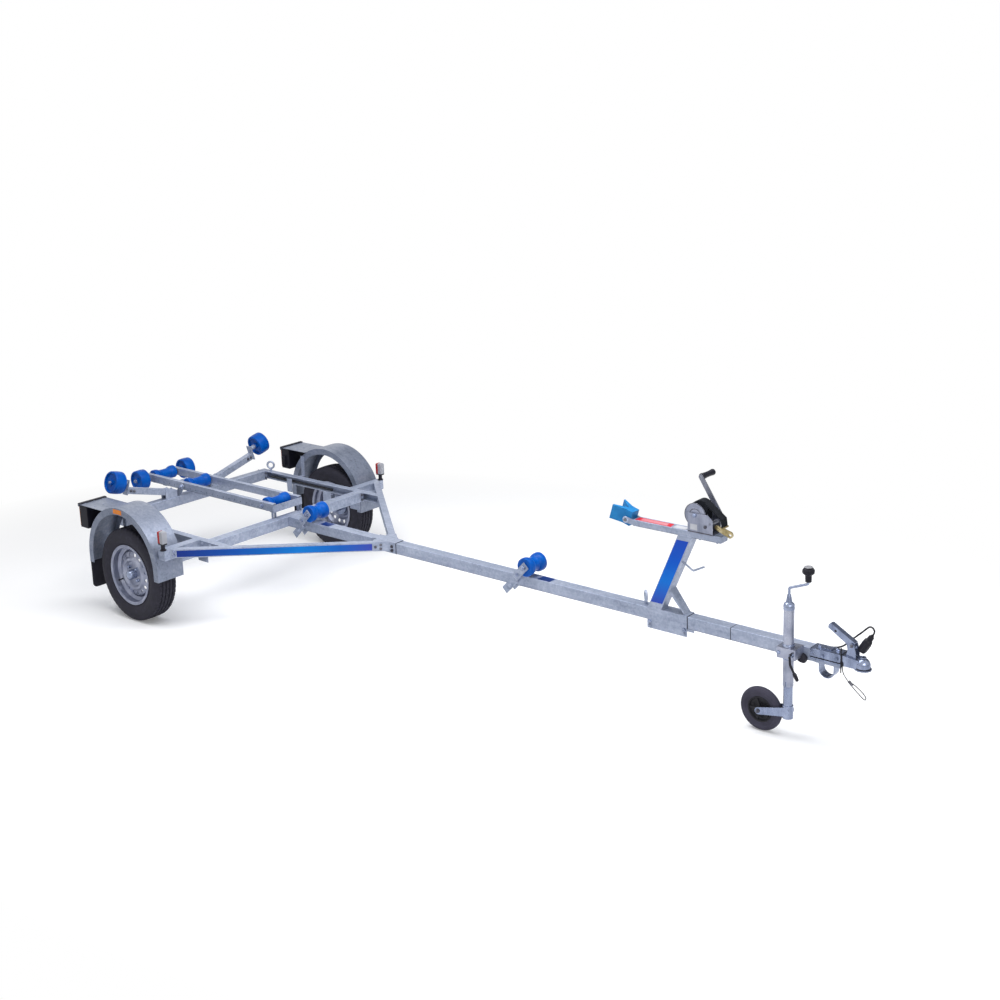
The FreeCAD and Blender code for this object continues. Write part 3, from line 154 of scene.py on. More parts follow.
def tube(bm, points, radius, steps=10, index=0):
    """A round bar through points; radius is a number or a function of the point's place, 0 to 1."""
    points = [Vector(p) for p in points]
    last = len(points) - 1
    rings = []
    u = None
    for i, p in enumerate(points):
        axis = (points[min(i + 1, last)] - points[max(i - 1, 0)]).normalized()
        u = square_to(axis)[0] if u is None else (u - axis * u.dot(axis)).normalized()
        v = axis.cross(u)
        r = radius(i / last) if callable(radius) else radius
        angles = [2 * math.pi * k / steps for k in range(steps)]
        rings.append([bm.verts.new(p + (u * math.cos(a) + v * math.sin(a)) * r) for a in angles])
    for a, b in zip(rings, rings[1:]):
        for k in range(steps):
            m = (k + 1) % steps
            bm.faces.new((a[k], a[m], b[m], b[k])).material_index = index
    bm.faces.new(rings[0][::-1]).material_index = index
    bm.faces.new(rings[-1]).material_index = index


def bolt(bm, at, axis, size, index=0, washer=True):
    """A hexagon head on its washer, which stands out along axis; its parts are shares of the thread."""
    at, axis = Vector(at), Vector(axis).normalized()
    t = 0.18 * size if washer else 0
    if washer:
        ring = [(0, 0), (1.05 * size, 0), (1.05 * size, 0.8 * t), (size, t), (0, t)]
        lathe(bm, ring, at, axis, 20, index)
    r, h = 0.92 * size, 0.62 * size
    head = [(0, t), (r, t), (r, t + 0.85 * h), (0.86 * r, t + h), (0, t + h)]
    lathe(bm, head, at, axis, 6, index, turn=random.random())


def nut(bm, at, axis, size, index=0):
    """A nut on its washer, with the end of its bolt standing out."""
    bolt(bm, at, axis, size, index)
    stub = [(0, 0.7), (0.5, 0.7), (0.5, 1.1), (0.4, 1.2), (0, 1.2)]
    lathe(bm, [(r * size, s * size) for r, s in stub], at, axis, 14, index)


def bead(bm, a, b, radius=2.4):
    """A weld bead from a to b: close overlapping ripples, a little uneven."""
    a, b = Vector(a), Vector(b)
    ripple = 1.6
    count = max(4, int((b - a).length / ripple))
    wobble = [random.uniform(-0.25, 0.25) for _ in range(count + 1)]
    points = [a.lerp(b, i / count) + Z * (wobble[i] * 0.5) for i in range(count + 1)]
    sizes = [radius * (0.92 + 0.12 * math.sin(i * 1.9)) + wobble[i] for i in range(count + 1)]
    tube(bm, points, lambda t: sizes[round(t * count)], 7)


def link(name, data):
    """A new object of the scene."""
    obj = bpy.data.objects.new(name, data)
    bpy.context.scene.collection.objects.link(obj)
    return obj


def mesh_of(name, bm):
    """The mesh of a drawing, which is freed."""
    mesh = bpy.data.meshes.new(name)
    bm.to_mesh(mesh)
    bm.free()
    return mesh


def make(name, bm, materials, body, sharp=35):
    """Turn a mesh drawn in the level frame into a piece that rides on a body."""
    bmesh.ops.recalc_face_normals(bm, faces=bm.faces)
    bm.transform(LEVEL_MM)
    mesh = mesh_of(name, bm)
    mesh.polygons.foreach_set("use_smooth", [True] * len(mesh.polygons))
    mesh.set_sharp_from_angle(angle=math.radians(sharp))
    for m in materials:
        mesh.materials.append(m)
    obj = link(name, mesh)
    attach(obj, body)
    return obj


# Materials
class Nodes:
    """A node tree, with short ways to add to it."""

    def __init__(self, tree):
        self.tree = tree

    def add(self, kind, **values):
        node = self.tree.nodes.new(kind)
        for key, value in values.items():
            setattr(node, key, value)
        return node

    def join(self, source, target):
        self.tree.links.new(source, target)

    def math(self, operation, *values):
        """A math node, whose values are outputs or plain numbers."""
        node = self.add("ShaderNodeMath", operation=operation)
        for socket, value in zip(node.inputs, values):
            if isinstance(value, (int, float)):
                socket.default_value = value
            else:
                self.join(value, socket)
        return node.outputs[0]

    def blend(self, share, first, second, output):
        """Mix two shaders by a share of the second, and lead the mix to the tree's output."""
        mix = self.add("ShaderNodeMixShader")
        self.join(share, mix.inputs["Fac"])
        self.join(first.outputs[0], mix.inputs[1])
        self.join(second.outputs[0], mix.inputs[2])
        self.join(mix.outputs[0], self.tree.nodes[output].inputs["Surface"])


class Look(Nodes):
    """One node material: a Principled shader and the textures that vary it."""

    def __init__(self, name, colour, metallic=0.0, roughness=0.5, **sockets):
        self.mat = bpy.data.materials.new(name)
        self.mat.use_nodes = True
        super().__init__(self.mat.node_tree)
        self.shader = self.tree.nodes["Principled BSDF"]
        self.shader.inputs["Base Color"].default_value = (*colour, 1)
        self.shader.inputs["Metallic"].default_value = metallic
        self.shader.inputs["Roughness"].default_value = roughness
        for key, value in sockets.items():
            self.shader.inputs[key.replace("_", " ")].default_value = value
        self.place = self.add("ShaderNodeTexCoord").outputs["Object"]

    def stretched(self, scale):
        """The place, scaled apart along each axis."""
        node = self.add("ShaderNodeMapping")
        node.inputs["Scale"].default_value = scale
        self.join(self.place, node.inputs["Vector"])
        return node.outputs["Vector"]

    def along(self, axis):
        """One row coordinate as a value."""
        split = self.add("ShaderNodeSeparateXYZ")
        self.join(self.place, split.inputs["Vector"])
        return split.outputs[axis]

    def noise(self, scale, detail=4.0, rough=0.55, place=None):
        node = self.add("ShaderNodeTexNoise")
        node.inputs["Scale"].default_value = scale
        node.inputs["Detail"].default_value = detail
        node.inputs["Roughness"].default_value = rough
        self.join(place or self.place, node.inputs["Vector"])
        return node.outputs["Fac"]

    def cells(self, scale):
        """Flat cells, each with a value of its own."""
        node = self.add("ShaderNodeTexVoronoi")
        node.inputs["Scale"].default_value = scale
        self.join(self.place, node.inputs["Vector"])
        split = self.add("ShaderNodeSeparateColor")
        self.join(node.outputs["Color"], split.inputs["Color"])
        return split.outputs["Red"]

    def ribs(self, direction, scale):
        """The even bands of a wave."""
        node = self.add("ShaderNodeTexWave", wave_type="BANDS", bands_direction=direction)
        node.inputs["Scale"].default_value = scale
        self.join(self.place, node.inputs["Vector"])
        return node.outputs["Fac"]

    def sum(self, *pairs):
        """Add up (weight, output) pairs."""
        total = 0
        for weight, output in pairs:
            total = self.math("MULTIPLY_ADD", output, weight, total)
        return total

    def mapped(self, value, start, end, low=0.0, high=1.0):
        """A value led from between start and end to between low and high."""
        node = self.add("ShaderNodeMapRange")
        node.inputs["From Min"].default_value = start
        node.inputs["From Max"].default_value = end
        node.inputs["To Min"].default_value = low
        node.inputs["To Max"].default_value = high
        self.join(value, node.inputs["Value"])
        return node.outputs["Result"]

    def colour(self, value, stops, interpolation="LINEAR"):
        """Colour the surface by a value, through (place, colour) stops."""
        node = self.add("ShaderNodeValToRGB")
        node.color_ramp.interpolation = interpolation
        elements = node.color_ramp.elements
        while len(elements) < len(stops):
            elements.new(0.5)
        while len(elements) > len(stops):
            elements.remove(elements[-1])
        for element, (at, colour) in zip(elements, stops):
            element.position = at
            element.color = (*colour, 1)
        self.join(value, node.inputs["Fac"])
        self.join(node.outputs["Color"], self.shader.inputs["Base Color"])

    def roughen(self, value, low, high, start=0.3, end=0.7):
        """Lead the roughness from low to high as a value goes from start to end."""
        self.join(self.mapped(value, start, end, low, high), self.shader.inputs["Roughness"])

    def bump(self, height, strength, distance=0.001, round_edges=0.0):
        """Bump the surface by a height, and shade its edges as rounded; the material is done."""
        node = self.add("ShaderNodeBump")
        node.inputs["Strength"].default_value = strength
        node.inputs["Distance"].default_value = distance
        self.join(height, node.inputs["Height"])
        if round_edges:
            edge = self.add("ShaderNodeBevel", samples=4)
            edge.inputs["Radius"].default_value = round_edges
            self.join(edge.outputs["Normal"], node.inputs["Normal"])
        self.join(node.outputs["Normal"], self.shader.inputs["Normal"])
        return self.mat


# What acrylic bends light by, and how far apart a wave texture's bands are at a scale of 1, in metres
ACRYLIC_IOR, WAVE_PITCH = 1.49, 0.31


def galvanised(name, tint=1.0, smooth=0.0, metal=0.35):
    """Hot-dip zinc: fine spangles, cloudy patches, faint runs along the bars and a few darker stains."""
    look = Look(name, (0.4, 0.42, 0.5), metallic=metal, Specular_IOR_Level=0.3)
    spangle = look.cells(95)
    cloud = look.noise(4, 6, 0.6)
    runs = look.noise(2.2, 5, 0.6, look.stretched((1.0, 18, 18)))
    stains = look.noise(22, 6, 0.7)
    mixed = look.sum((0.12, spangle), (0.36, cloud), (0.34, runs), (0.26, stains))
    tones = [(0.36, (0.185, 0.215, 0.29)), (0.47, (0.27, 0.31, 0.41)), (0.60, (0.34, 0.38, 0.49)),
             (0.76, (0.47, 0.51, 0.61))]
    look.colour(mixed, [(at, tuple(tint * c for c in tone)) for at, tone in tones])
    look.roughen(mixed, 0.52 - smooth, 0.34 - smooth, start=0.35, end=0.75)
    return look.bump(look.sum((0.3, spangle), (1.0, look.noise(150, 3))), 0.08, 0.0003, 0.0016)


def bright_zinc(name, tones, rough=0.3):
    """Electroplated zinc: smooth, with a faint blue cast and drawn marks."""
    look = Look(name, tones[1], metallic=0.75)
    marks = look.noise(5, 5, 0.6, look.stretched((4, 4, 0.8)))
    cloud = look.noise(14, 5, 0.6)
    look.colour(look.sum((0.6, marks), (0.4, cloud)), list(zip((0.36, 0.5, 0.64), tones)))
    look.roughen(marks, rough + 0.08, rough - 0.06)
    return look.bump(look.noise(260, 2), 0.03, 0.0002, 0.001)


def moulded(name, dark, light, rough, grain, specular=0.22):
    """Moulded plastic or rubber, with slight clouds and a fine grain."""
    look = Look(name, light, roughness=rough, Specular_IOR_Level=specular)
    cloud = look.noise(14, 5)
    look.colour(cloud, [(0.3, dark), (0.7, light)])
    look.roughen(cloud, rough - 0.06, rough + 0.06)
    return look.bump(look.noise(900, 2), grain, 0.0004, 0.0008)


def road_rubber():
    """Tyre rubber: black, with dust in uneven clouds."""
    look = Look("tyre_rubber", (0.03, 0.03, 0.033), roughness=0.7, Specular_IOR_Level=0.3)
    dust = look.noise(30, 6, 0.65)
    look.colour(dust, [(0.32, (0.011, 0.011, 0.018)), (0.55, (0.021, 0.020, 0.032)),
                       (0.75, (0.042, 0.041, 0.058))])
    look.roughen(dust, 0.62, 0.82)
    return look.bump(look.noise(500, 3), 0.2, 0.0006)


def webbing():
    """Woven strap: fine ribs across its weave."""
    look = Look("black_webbing", (0.02, 0.02, 0.023), roughness=0.85, Specular_IOR_Level=0.12)
    weave = look.ribs("DIAGONAL", 420)
    look.colour(look.sum((0.4, weave), (0.6, look.noise(40))),
                [(0.25, (0.004, 0.005, 0.007)), (0.75, (0.015, 0.017, 0.023))])
    return look.bump(weave, 0.35, 0.0006)


def film(name, axis, stops, low, high):
    """A printed film whose colour runs along one row axis between two places, in metres."""
    look = Look(name, stops[0][1], roughness=0.4, Specular_IOR_Level=0.15)
    look.colour(look.mapped(look.along(axis), low, high), stops)
    return look.bump(look.noise(60, 3), 0.04, 0.0003)


def lens(name, axis, stops, rough=0.15, through=0.25, mirrored=False):
    """A moulded acrylic lens with fine ribs, whose colour steps along one row axis, in metres."""
    look = Look(name, stops[-1][1], roughness=rough, Transmission_Weight=through, IOR=ACRYLIC_IOR)
    low, high = stops[0][0], stops[-1][0] + MM
    place = look.along(axis)
    if mirrored:
        place = look.math("ABSOLUTE", place)
    steps = [((at - low) / (high - low), colour) for at, colour in stops]
    look.colour(look.mapped(place, low, high), steps, "CONSTANT")
    return look.bump(look.ribs("Z", 60), 0.3, 0.001)


def ribbed_sheath(name, axis, pitch):
    """A corrugated cable sheath, ribbed along one row axis; its pitch is in metres. Its colour is painted shade in
    the grooves and a painted highlight on the ribs.
    """
    look = Look(name, (0.02, 0.02, 0.023), roughness=0.5)
    ribs = look.ribs(axis, WAVE_PITCH / pitch)
    # The colour follows the ribs: painted shade in the grooves, a painted highlight on the crests
    look.colour(look.sum((0.8, ribs), (0.2, look.noise(60))),
                [(0.15, (0.004, 0.004, 0.005)), (0.75, (0.075, 0.075, 0.085))])
    return look.bump(ribs, 1.0, 0.002)


def row_x(x):
    """A place along the frame's top in the row frame, in metres."""
    return (LEVEL_MM @ Vector((x, 0, FRAME_TOP))).x


def row_z(z):
    """A height at the winch post in the row frame, in metres."""
    return (LEVEL_MM @ Vector((POST_X, 0, z))).z


GALV = galvanised("galvanised_steel")
SHEET = galvanised("galvanised_sheet", tint=0.71, smooth=0.05, metal=0.5)
# Lit and shaded copies of the galvanised steel: a painted highlight and painted shade for the bars' corners; the
# bright copy also colours the pale washer at the bow stop's pin
PALE_GALV_AND_PAINTED_HIGHLIGHT = galvanised("galvanised_pale_and_painted_highlight", tint=1.45)
PAINTED_SHADE_GALV = galvanised("galvanised_painted_shade", tint=0.35)
ZINC = bright_zinc("zinc_plated_steel", [(0.15, 0.18, 0.27), (0.24, 0.28, 0.40), (0.36, 0.41, 0.54)], 0.24)
TUBE_ZINC = bright_zinc("tube_zinc", [(0.21, 0.23, 0.30), (0.31, 0.33, 0.42), (0.43, 0.45, 0.53)])
CRANK = bright_zinc("crank_zinc", [(0.13, 0.14, 0.18), (0.22, 0.23, 0.28), (0.34, 0.36, 0.42)], 0.34)
YELLOW = bright_zinc("yellow_zinc", [(0.20, 0.16, 0.07), (0.40, 0.32, 0.16), (0.60, 0.52, 0.33)])
DARK_ZINC = bright_zinc("dark_zinc", [(0.05, 0.05, 0.06), (0.11, 0.11, 0.135), (0.22, 0.23, 0.26)], 0.4)
RIM = bright_zinc("rim_silver", [(0.19, 0.21, 0.29), (0.28, 0.30, 0.39), (0.40, 0.42, 0.51)], 0.36)
BLUE = moulded("blue_plastic", (0.0, 0.052, 0.30), (0.0, 0.10, 0.46), 0.36, 0.06, specular=0.14)
SKY = moulded("bow_blue", (0.006, 0.14, 0.38), (0.014, 0.22, 0.53), 0.42, 0.06)
BLACK = moulded("black_plastic", (0.005, 0.005, 0.009), (0.013, 0.013, 0.021), 0.42, 0.12)
RUBBER = moulded("black_rubber", (0.010, 0.010, 0.016), (0.022, 0.021, 0.031), 0.62, 0.15)
SHEATH = moulded("cable_black", (0.010, 0.010, 0.013), (0.024, 0.024, 0.031), 0.5, 0.05)
JOCKEY = moulded("jockey_rubber", (0.030, 0.028, 0.044), (0.055, 0.052, 0.078), 0.66, 0.15)
JOCKEY_HUB = moulded("jockey_plastic", (0.008, 0.008, 0.011), (0.020, 0.020, 0.026), 0.5, 0.1)
GREY = moulded("knob_grey", (0.20, 0.20, 0.22), (0.27, 0.27, 0.29), 0.5, 0.1)
LABEL = moulded("label_white", (0.46, 0.47, 0.51), (0.54, 0.55, 0.59), 0.45, 0.03)
TYRE = road_rubber()
STRAP = webbing()
LOOM = ribbed_sheath("loom_black", "X", 0.009)
WIRE = moulded("wire_steel", (0.004, 0.004, 0.006), (0.012, 0.012, 0.016), 0.5, 0.05)
LAMP_RED = (0.42, 0.008, 0.008)
LAMP = lens("rear_lens", "Y", [(0.70, LAMP_RED), (0.775, (0.60, 0.61, 0.63)), (0.80, LAMP_RED),
                               (0.845, (0.80, 0.22, 0.01))], mirrored=True)
MARKER_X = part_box("marker_lenses")[0].x
MARKER = lens("clear_lens", "X", [(MARKER_X, (0.42, 0.01, 0.01)), (MARKER_X + 0.02, (0.40, 0.42, 0.47))])
AMBER = lens("amber_lens", "Z", [(0.0, (0.85, 0.24, 0.005))], 0.2, 0.1)
DIAG_BLUE = film("diagonal_film", "X", [(0.0, (0.009, 0.022, 0.19)), (0.30, (0.003, 0.075, 0.38)),
                                        (0.60, (0.0, 0.175, 0.58)), (0.78, (0.006, 0.105, 0.46)),
                                        (1.0, (0.06, 0.045, 0.36))], row_x(DIAG_START.x), row_x(DIAG_END.x))
POST_BLUE = film("post_film", "Z", [(0.0, (0.035, 0.045, 0.36)), (0.38, (0.0, 0.15, 0.60)),
                                    (0.65, (0.0, 0.085, 0.52)), (1.0, (0.012, 0.055, 0.42))],
                 row_z(POST_FOOT), row_z(MAST_LOW))
BAR_BLUE = film("bar_film", "Y", [(0.0, (0.006, 0.02, 0.10)), (1.0, (0.010, 0.035, 0.17))], -0.03, 0.03)
BAND_ENDS = row_x(3000), row_x(3200)
RED = film("red_film", "X", [(0.0, (0.50, 0.018, 0.035)), (1.0, (0.54, 0.03, 0.05))], *BAND_ENDS)
PALE_RED = film("pale_red_film", "X", [(0.0, (0.56, 0.17, 0.20)), (1.0, (0.58, 0.24, 0.27))], *BAND_ENDS)

by_slot = {"galvanised_steel": GALV, "zinc_plated_steel": ZINC, "tyre_rubber": TYRE, "rim_silver": RIM,
           "dark_hub": ZINC, "red_lens": LAMP, "black_rubber": RUBBER, "black_plastic": BLACK,
           "clear_lens": MARKER, "blue_plastic": BLUE, "bow_blue": SKY, "black_webbing": STRAP,
           "yellow_zinc": YELLOW, "cable_black": SHEATH, "wire_steel": WIRE, "jockey_rubber": JOCKEY,
           "jockey_plastic": JOCKEY_HUB}
by_node = {"mudguard_left": SHEET, "mudguard_right": SHEET, "loom": LOOM, "winch_crank": CRANK,
           "winch_frame": TUBE_ZINC, "jack_tube": TUBE_ZINC, "jack_clamp": TUBE_ZINC}
slot_of = {s["node"]: s["material_slot"] for s in frame["record"]["subparts"]}
for node, obj in frame["nodes"].items():
    obj.data.materials.clear()
    obj.data.materials.append(by_node.get(node, by_slot[slot_of[node]]))


# Road tyres: a profile's points are (radius, half width, kind of tread), and only the tread has slits
PLAIN, RIB, BLOCK = range(3)
SLIT_EVERY, SLIT_DEPTH = {RIB: 6, BLOCK: 4}, 4.5
GROOVES, GROOVE_HALF, GROOVE_DEPTH = (-36, -13, 13, 36), 4.2, 7
BEAD_HALF, BEAD_RISE, SHOULDER_DROP = 58, 16, 12
WALL_STEPS, WALL_RINGS, RING_RISE = 21, (3, 4, 13, 16), 0.9
BLOCKS_FROM, CROWN_FALL = 38, 2.2
BEAD_STEPS, BEAD_CROWN = 6, 2
WALL_SWELL, TURN_FROM, TURN_IN, TURN_OVER = 1.75, 0.55, 9.5, 0.2


def tyre_half():
    """The profile of one wall, from the bead to the tread's edge."""
    points = []
    for k in range(BEAD_STEPS + 1):
        t = k / BEAD_STEPS
        points.append((BEAD_R + BEAD_RISE * t, BEAD_HALF + BEAD_CROWN * math.sin(t * math.pi), PLAIN))
    low, high = BEAD_R + BEAD_RISE, TYRE_R - SHOULDER_DROP
    for k in range(1, WALL_STEPS + 1):
        t = k / WALL_STEPS
        bulge = (TYRE_HALF - BEAD_HALF) * math.sin(min(1, t * WALL_SWELL) * math.pi / 2)
        turned_in = TURN_IN * max(0, t - TURN_FROM) ** 2 / TURN_OVER
        ring = RING_RISE if k in WALL_RINGS else 0
        points.append((low + (high - low) * t, BEAD_HALF + bulge - turned_in + ring, PLAIN))
    for drop, past in ((8, 7), (4, 2), (2, -3)):
        points.append((TYRE_R - drop, TREAD_HALF + past, BLOCK))
    return points


def tyre_crown():
    """The profile of the tread with its grooves, from the outer edge to the inner one."""
    points = []
    for middle in reversed(GROOVES):
        for edge, inward in ((middle + GROOVE_HALF, -1), (middle - GROOVE_HALF, 1)):
            crown = TYRE_R - CROWN_FALL * (edge / TREAD_HALF) ** 2
            lip = (crown, edge, BLOCK if abs(edge) > BLOCKS_FROM else RIB)
            foot = (crown - GROOVE_DEPTH, edge + inward, PLAIN)
            points += [lip, foot] if inward < 0 else [foot, lip]
    return points


def tyre(name, side):
    """A tyre with four grooves, slits across its ribs, and rings on its walls."""
    steps = 240
    half = tyre_half()
    profile = half + tyre_crown() + [(r, -y, kind) for r, y, kind in half[::-1]]
    bm = bmesh.new()
    centre = Y * (side * WHEEL_Y)
    rings = []
    for r, y, kind in profile:
        shift = int(3 * y / TREAD_HALF)
        ring = []
        for i in range(steps):
            a = 2 * math.pi * i / steps
            slit = kind in SLIT_EVERY and (i + shift) % SLIT_EVERY[kind] == 0
            depth = r - (SLIT_DEPTH if slit else 0)
            ring.append(bm.verts.new(centre + Vector((depth * math.cos(a), side * y, depth * math.sin(a)))))
        rings.append(ring)
    rings.append(rings[0])
    for a, b in zip(rings, rings[1:]):
        for i in range(steps):
            j = (i + 1) % steps
            bm.faces.new((a[i], a[j], b[j], b[i]))
    obj = make("road_tyre_" + name, bm, [TYRE], "wheel_" + name, 28)
    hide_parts("tyre_" + name)


def wheel_trim(name, side):
    """Wheel bolts, dust cap and valve."""
    bm = bmesh.new()
    out = Y * side
    face = side * (WHEEL_Y + RIM_FACE)
    for i in range(WHEEL_BOLTS):
        a = (2 * i + 1) * math.pi / WHEEL_BOLTS
        at = Vector((WHEEL_BOLTS_R * math.cos(a), face, WHEEL_BOLTS_R * math.sin(a)))
        lathe(bm, [(0, -1), (11, -1), (11, 2), (9, 4), (0, 4)], at, out, 20)
        lathe(bm, [(0, 3), (9.8, 3), (9.8, 13), (8, 16), (0, 17)], at, out, 6, turn=a)
    cap = [(27.4, 17), (29, 17), (29, 20), (27, 24), (26, 36), (22, 42), (12, 46), (0, 47)]
    lathe(bm, cap, Y * face, out)
    at = Vector((VALVE_R * math.cos(VALVE_ANGLE), face - side * 12, VALVE_R * math.sin(VALVE_ANGLE)))
    valve = [(0, 0), (5.5, 0), (5.5, 8), (4, 12), (4, 26), (4.6, 27), (4.6, 36), (3.5, 38), (0, 38)]
    lathe(bm, valve, at, out, 14, 1)
    make("wheel_bolts_" + name, bm, [ZINC, BLACK], "wheel_" + name)


for name, side in SIDES:
    tyre(name, side)
    wheel_trim(name, side)


# Bare films: the diagonals' and the post's stripes, the drawbar's patches, the arm's band, blank labels
def film_piece(name, corners, lift, material):
    """A printed film 0.3 mm thick, seated on the face that its corners lie in."""
    bm = bmesh.new()
    sunk, thick = 0.05, 0.35
    slab(bm, [Vector(c) - lift * sunk for c in corners], lift * thick)
    make(name, bm, [material], "frame")


for name, side in SIDES:
    start, end = 40, DIAG_LONG - 95
    corners = [diagonal_point(side, s, z) for s, z in ((start, 175), (end, 175), (end, 213), (start, 213))]
    film_piece("diagonal_stripe_" + name, corners, diagonal_out(side), DIAG_BLUE)
    low, high = POST_FOOT + 30, MAST_LOW - 24
    rear, front = 3 - POST_HALF, POST_HALF - 7
    corners = [(post_x(z) + dx, side * BAR_HALF, z)
               for z, dx in ((low, rear), (low, front), (high, front), (high, rear))]
    film_piece("post_stripe_" + name, corners, Y * side, POST_BLUE)
for name, x in zip(("rear", "front"), KEEL_ROLLER_X):
    corners = [(x + dx, y, FRAME_TOP) for dx, y in ((52, -28), (132, -28), (132, 28), (52, 28))]
    film_piece("bar_patch_" + name, corners, Z, BAR_BLUE)
band = [(x, y, MAST_TOP) for x, y in ((3006, -24), (3212, -24), (3204, 20), (3006, 20))]
field = [(x, y, MAST_TOP + 0.25) for x, y in ((3036, -18), (3186, -18), (3180, 14), (3032, 14))]
label = [(x, y, MAST_TOP) for x, y in ((3222, -22), (3292, -22), (3292, 16), (3222, 16))]
film_piece("arm_band", band, Z, RED)
film_piece("arm_band_field", field, Z, PALE_RED)
film_piece("arm_label", label, Z, LABEL)
label = [(x, -WINCH_Y, z) for x, z in ((3328, 664), (3366, 664), (3366, 692), (3328, 692))]
film_piece("winch_label", label, -Y, LABEL)

# Reflectors on the mudguards' outer sides
REFLECTOR_Y = 895
for name, side in SIDES:
    bm = bmesh.new()
    side_strip(bm, side, REFLECTOR_Y, (-62, 18), (374, 402), 1.4)
    side_strip(bm, side, REFLECTOR_Y, (-58, 14), (378, 398), 1.9)
    make("reflector_" + name, bm, [AMBER], "frame")

# Bolts, nuts and rivets of the frame, bright unless one of the piece's other materials is named
DARK, DIPPED, PALE = 1, 2, 3
bm = bmesh.new()
for side in (1, -1):
    out = Y * side
    # The diagonals' ends, the collar and the saddle
    for z in (206, 184):
        bolt(bm, diagonal_point(side, 24, z), diagonal_out(side), 9)
    for from_end, z in ((46, 207), (46, 184), (76, 195)):
        bolt(bm, diagonal_point(side, DIAG_LONG - from_end, z, PLATE), diagonal_out(side), 8, DARK)
    for z in (199, 176):
        nut(bm, (1346, side * PLATE_Y, z), out, 9, DARK)
    for x in (3094, 3291):
        nut(bm, (x, side * PLATE_Y, 153), out, 10)
        nut(bm, (x, side * PLATE_Y, 130), out, 10, DIPPED)
    # The keel rollers' pins, stays and clamps, and the cradle's pivot
    for x in KEEL_ROLLER_X:
        nut(bm, (x, side * 73, 282), out, 15)
        bolt(bm, (x - 45.3, side * 73, 236.7), out, 9)
        nut(bm, (x - 120.9, side * 35, 152), out, 12, DIPPED)
    nut(bm, (PIVOT_X, side * 124, 288), out, 15)
    # The crossbars' plates, the outriggers' feet and the axle's seats
    for rear, front in CROSSBARS:
        for x in (rear - 8, front + 8):
            for z in (206, 176):
                bolt(bm, (x, side * RAIL_PLATE_Y, z), -out, 8, DARK)
                nut(bm, (x, side * RAIL_OUT, z), out, 8, DIPPED)
    for z in (206, 176):
        for x in (330, 362):
            bolt(bm, (x, side * RAIL_OUT, z), out, 8, DIPPED)
    for x in (110, 162):
        nut(bm, (x, side * 610, 158), -Z, 10, DIPPED)
    # The mudguards' shelves and flaps
    for y in (740, 800, 860):
        for x in (-400, -300):
            bolt(bm, (x, side * y, 366), Z, 5, DIPPED, washer=False)
    for y in (760, 860):
        bolt(bm, (-356, side * y, 66), -X, 7)
    bolt(bm, (-350, side * 800, 40), -X, 7)
    # The bow stop's pin, the winch and the coupling
    cover = [(0, 0), (17, 0), (17, 2), (16, 3), (0, 3)]
    lathe(bm, cover, (2960, side * PLATE_Y, 645), out, 32, PALE)
    bolt(bm, (2960, side * (PLATE_Y + 3), 645), out, 10, DARK, washer=False)
    for x in (3369, 3462):
        nut(bm, (x, side * 17, MAST_LOW), -Z, 7)
    nut(bm, (DRUM.x, side * WINCH_Y, DRUM.z), out, 10)
    nut(bm, (3410, side * WINCH_Y, 688), out, 8, DARK)
    bolt(bm, (4010, side * COUPLING_Y, 196), out, 9)
    bolt(bm, (4078, side * COUPLING_Y, 200), out, 9)
    nut(bm, (4142, side * 20, 272), out, 8, DARK)
    # The side arms' clamps and slides
    arm_foot = Vector((SIDE_ARM.x, side * SIDE_ARM.y, SIDE_ARM.z))
    arm_along = Vector((0, side * math.cos(ARM_SLOPE), math.sin(ARM_SLOPE)))
    arm_up = Vector((0, -side * math.sin(ARM_SLOPE), math.cos(ARM_SLOPE)))
    for s in (24, 60):
        nut(bm, arm_foot + arm_along * s + arm_up * 20, arm_up, 8, DIPPED)
    for s in (318, 344):
        nut(bm, arm_foot + arm_along * s + X * 20, X, 9, DARK)
        bolt(bm, arm_foot + arm_along * s - X * 20, -X, 9)
# The coupling's upright bolts, and the jack clamp's
for x, y in ((3984, -4), (4066, 4)):
    nut(bm, (x, y, COUPLING_TOP), Z, 10)
for x in (3982, 4078):
    nut(bm, (x, 0, 156), -Z, 9)
for x in (3836, 3906):
    nut(bm, (x, 30, 200), Y, 11, DARK)
    bolt(bm, (x, -112.5, 201), -Y, 9)
make("frame_bolts", bm, [ZINC, DARK_ZINC, GALV, PALE_GALV_AND_PAINTED_HIGHLIGHT], "frame")

# The cradle's pin nuts, and the row of punched holes along each side, drawn as thin black discs of painted shade
bm = bmesh.new()
HOLE_SHADE_DISC = [(0, -0.2), (3.4, -0.2), (3.4, 0.15), (0, 0.15)]
for side in (1, -1):
    out = Y * side
    nut(bm, (FRONT_PIN_X, side * CRADLE_OUT, 288), out, 14)
    nut(bm, (-805, side * 217, 288), out, 13)
    for x in range(-700, 400, 55):
        if abs(x - PIVOT_X) > 50 and abs(x - FRONT_PIN_X) > 40:
            # A black disc of painted shade for each hole
            lathe(bm, HOLE_SHADE_DISC, (x, side * CRADLE_OUT, 281), out, 10, 1)
make("cradle_bolts", bm, [ZINC, BLACK], "cradle")

# Rolled corners of the box bars, with painted light: a painted highlight on the upper ones, painted shade on the
# lower ones
LIT, SHADED = range(2)
INSET, SUNK = 0.6, 0.7


def corner(bm, start, end, radius=1.3, index=LIT):
    """A thin round along a bar's corner; the lit index gives it a painted highlight, the shaded index painted
    shade.
    """
    tube(bm, [start, end], radius, 8, index)


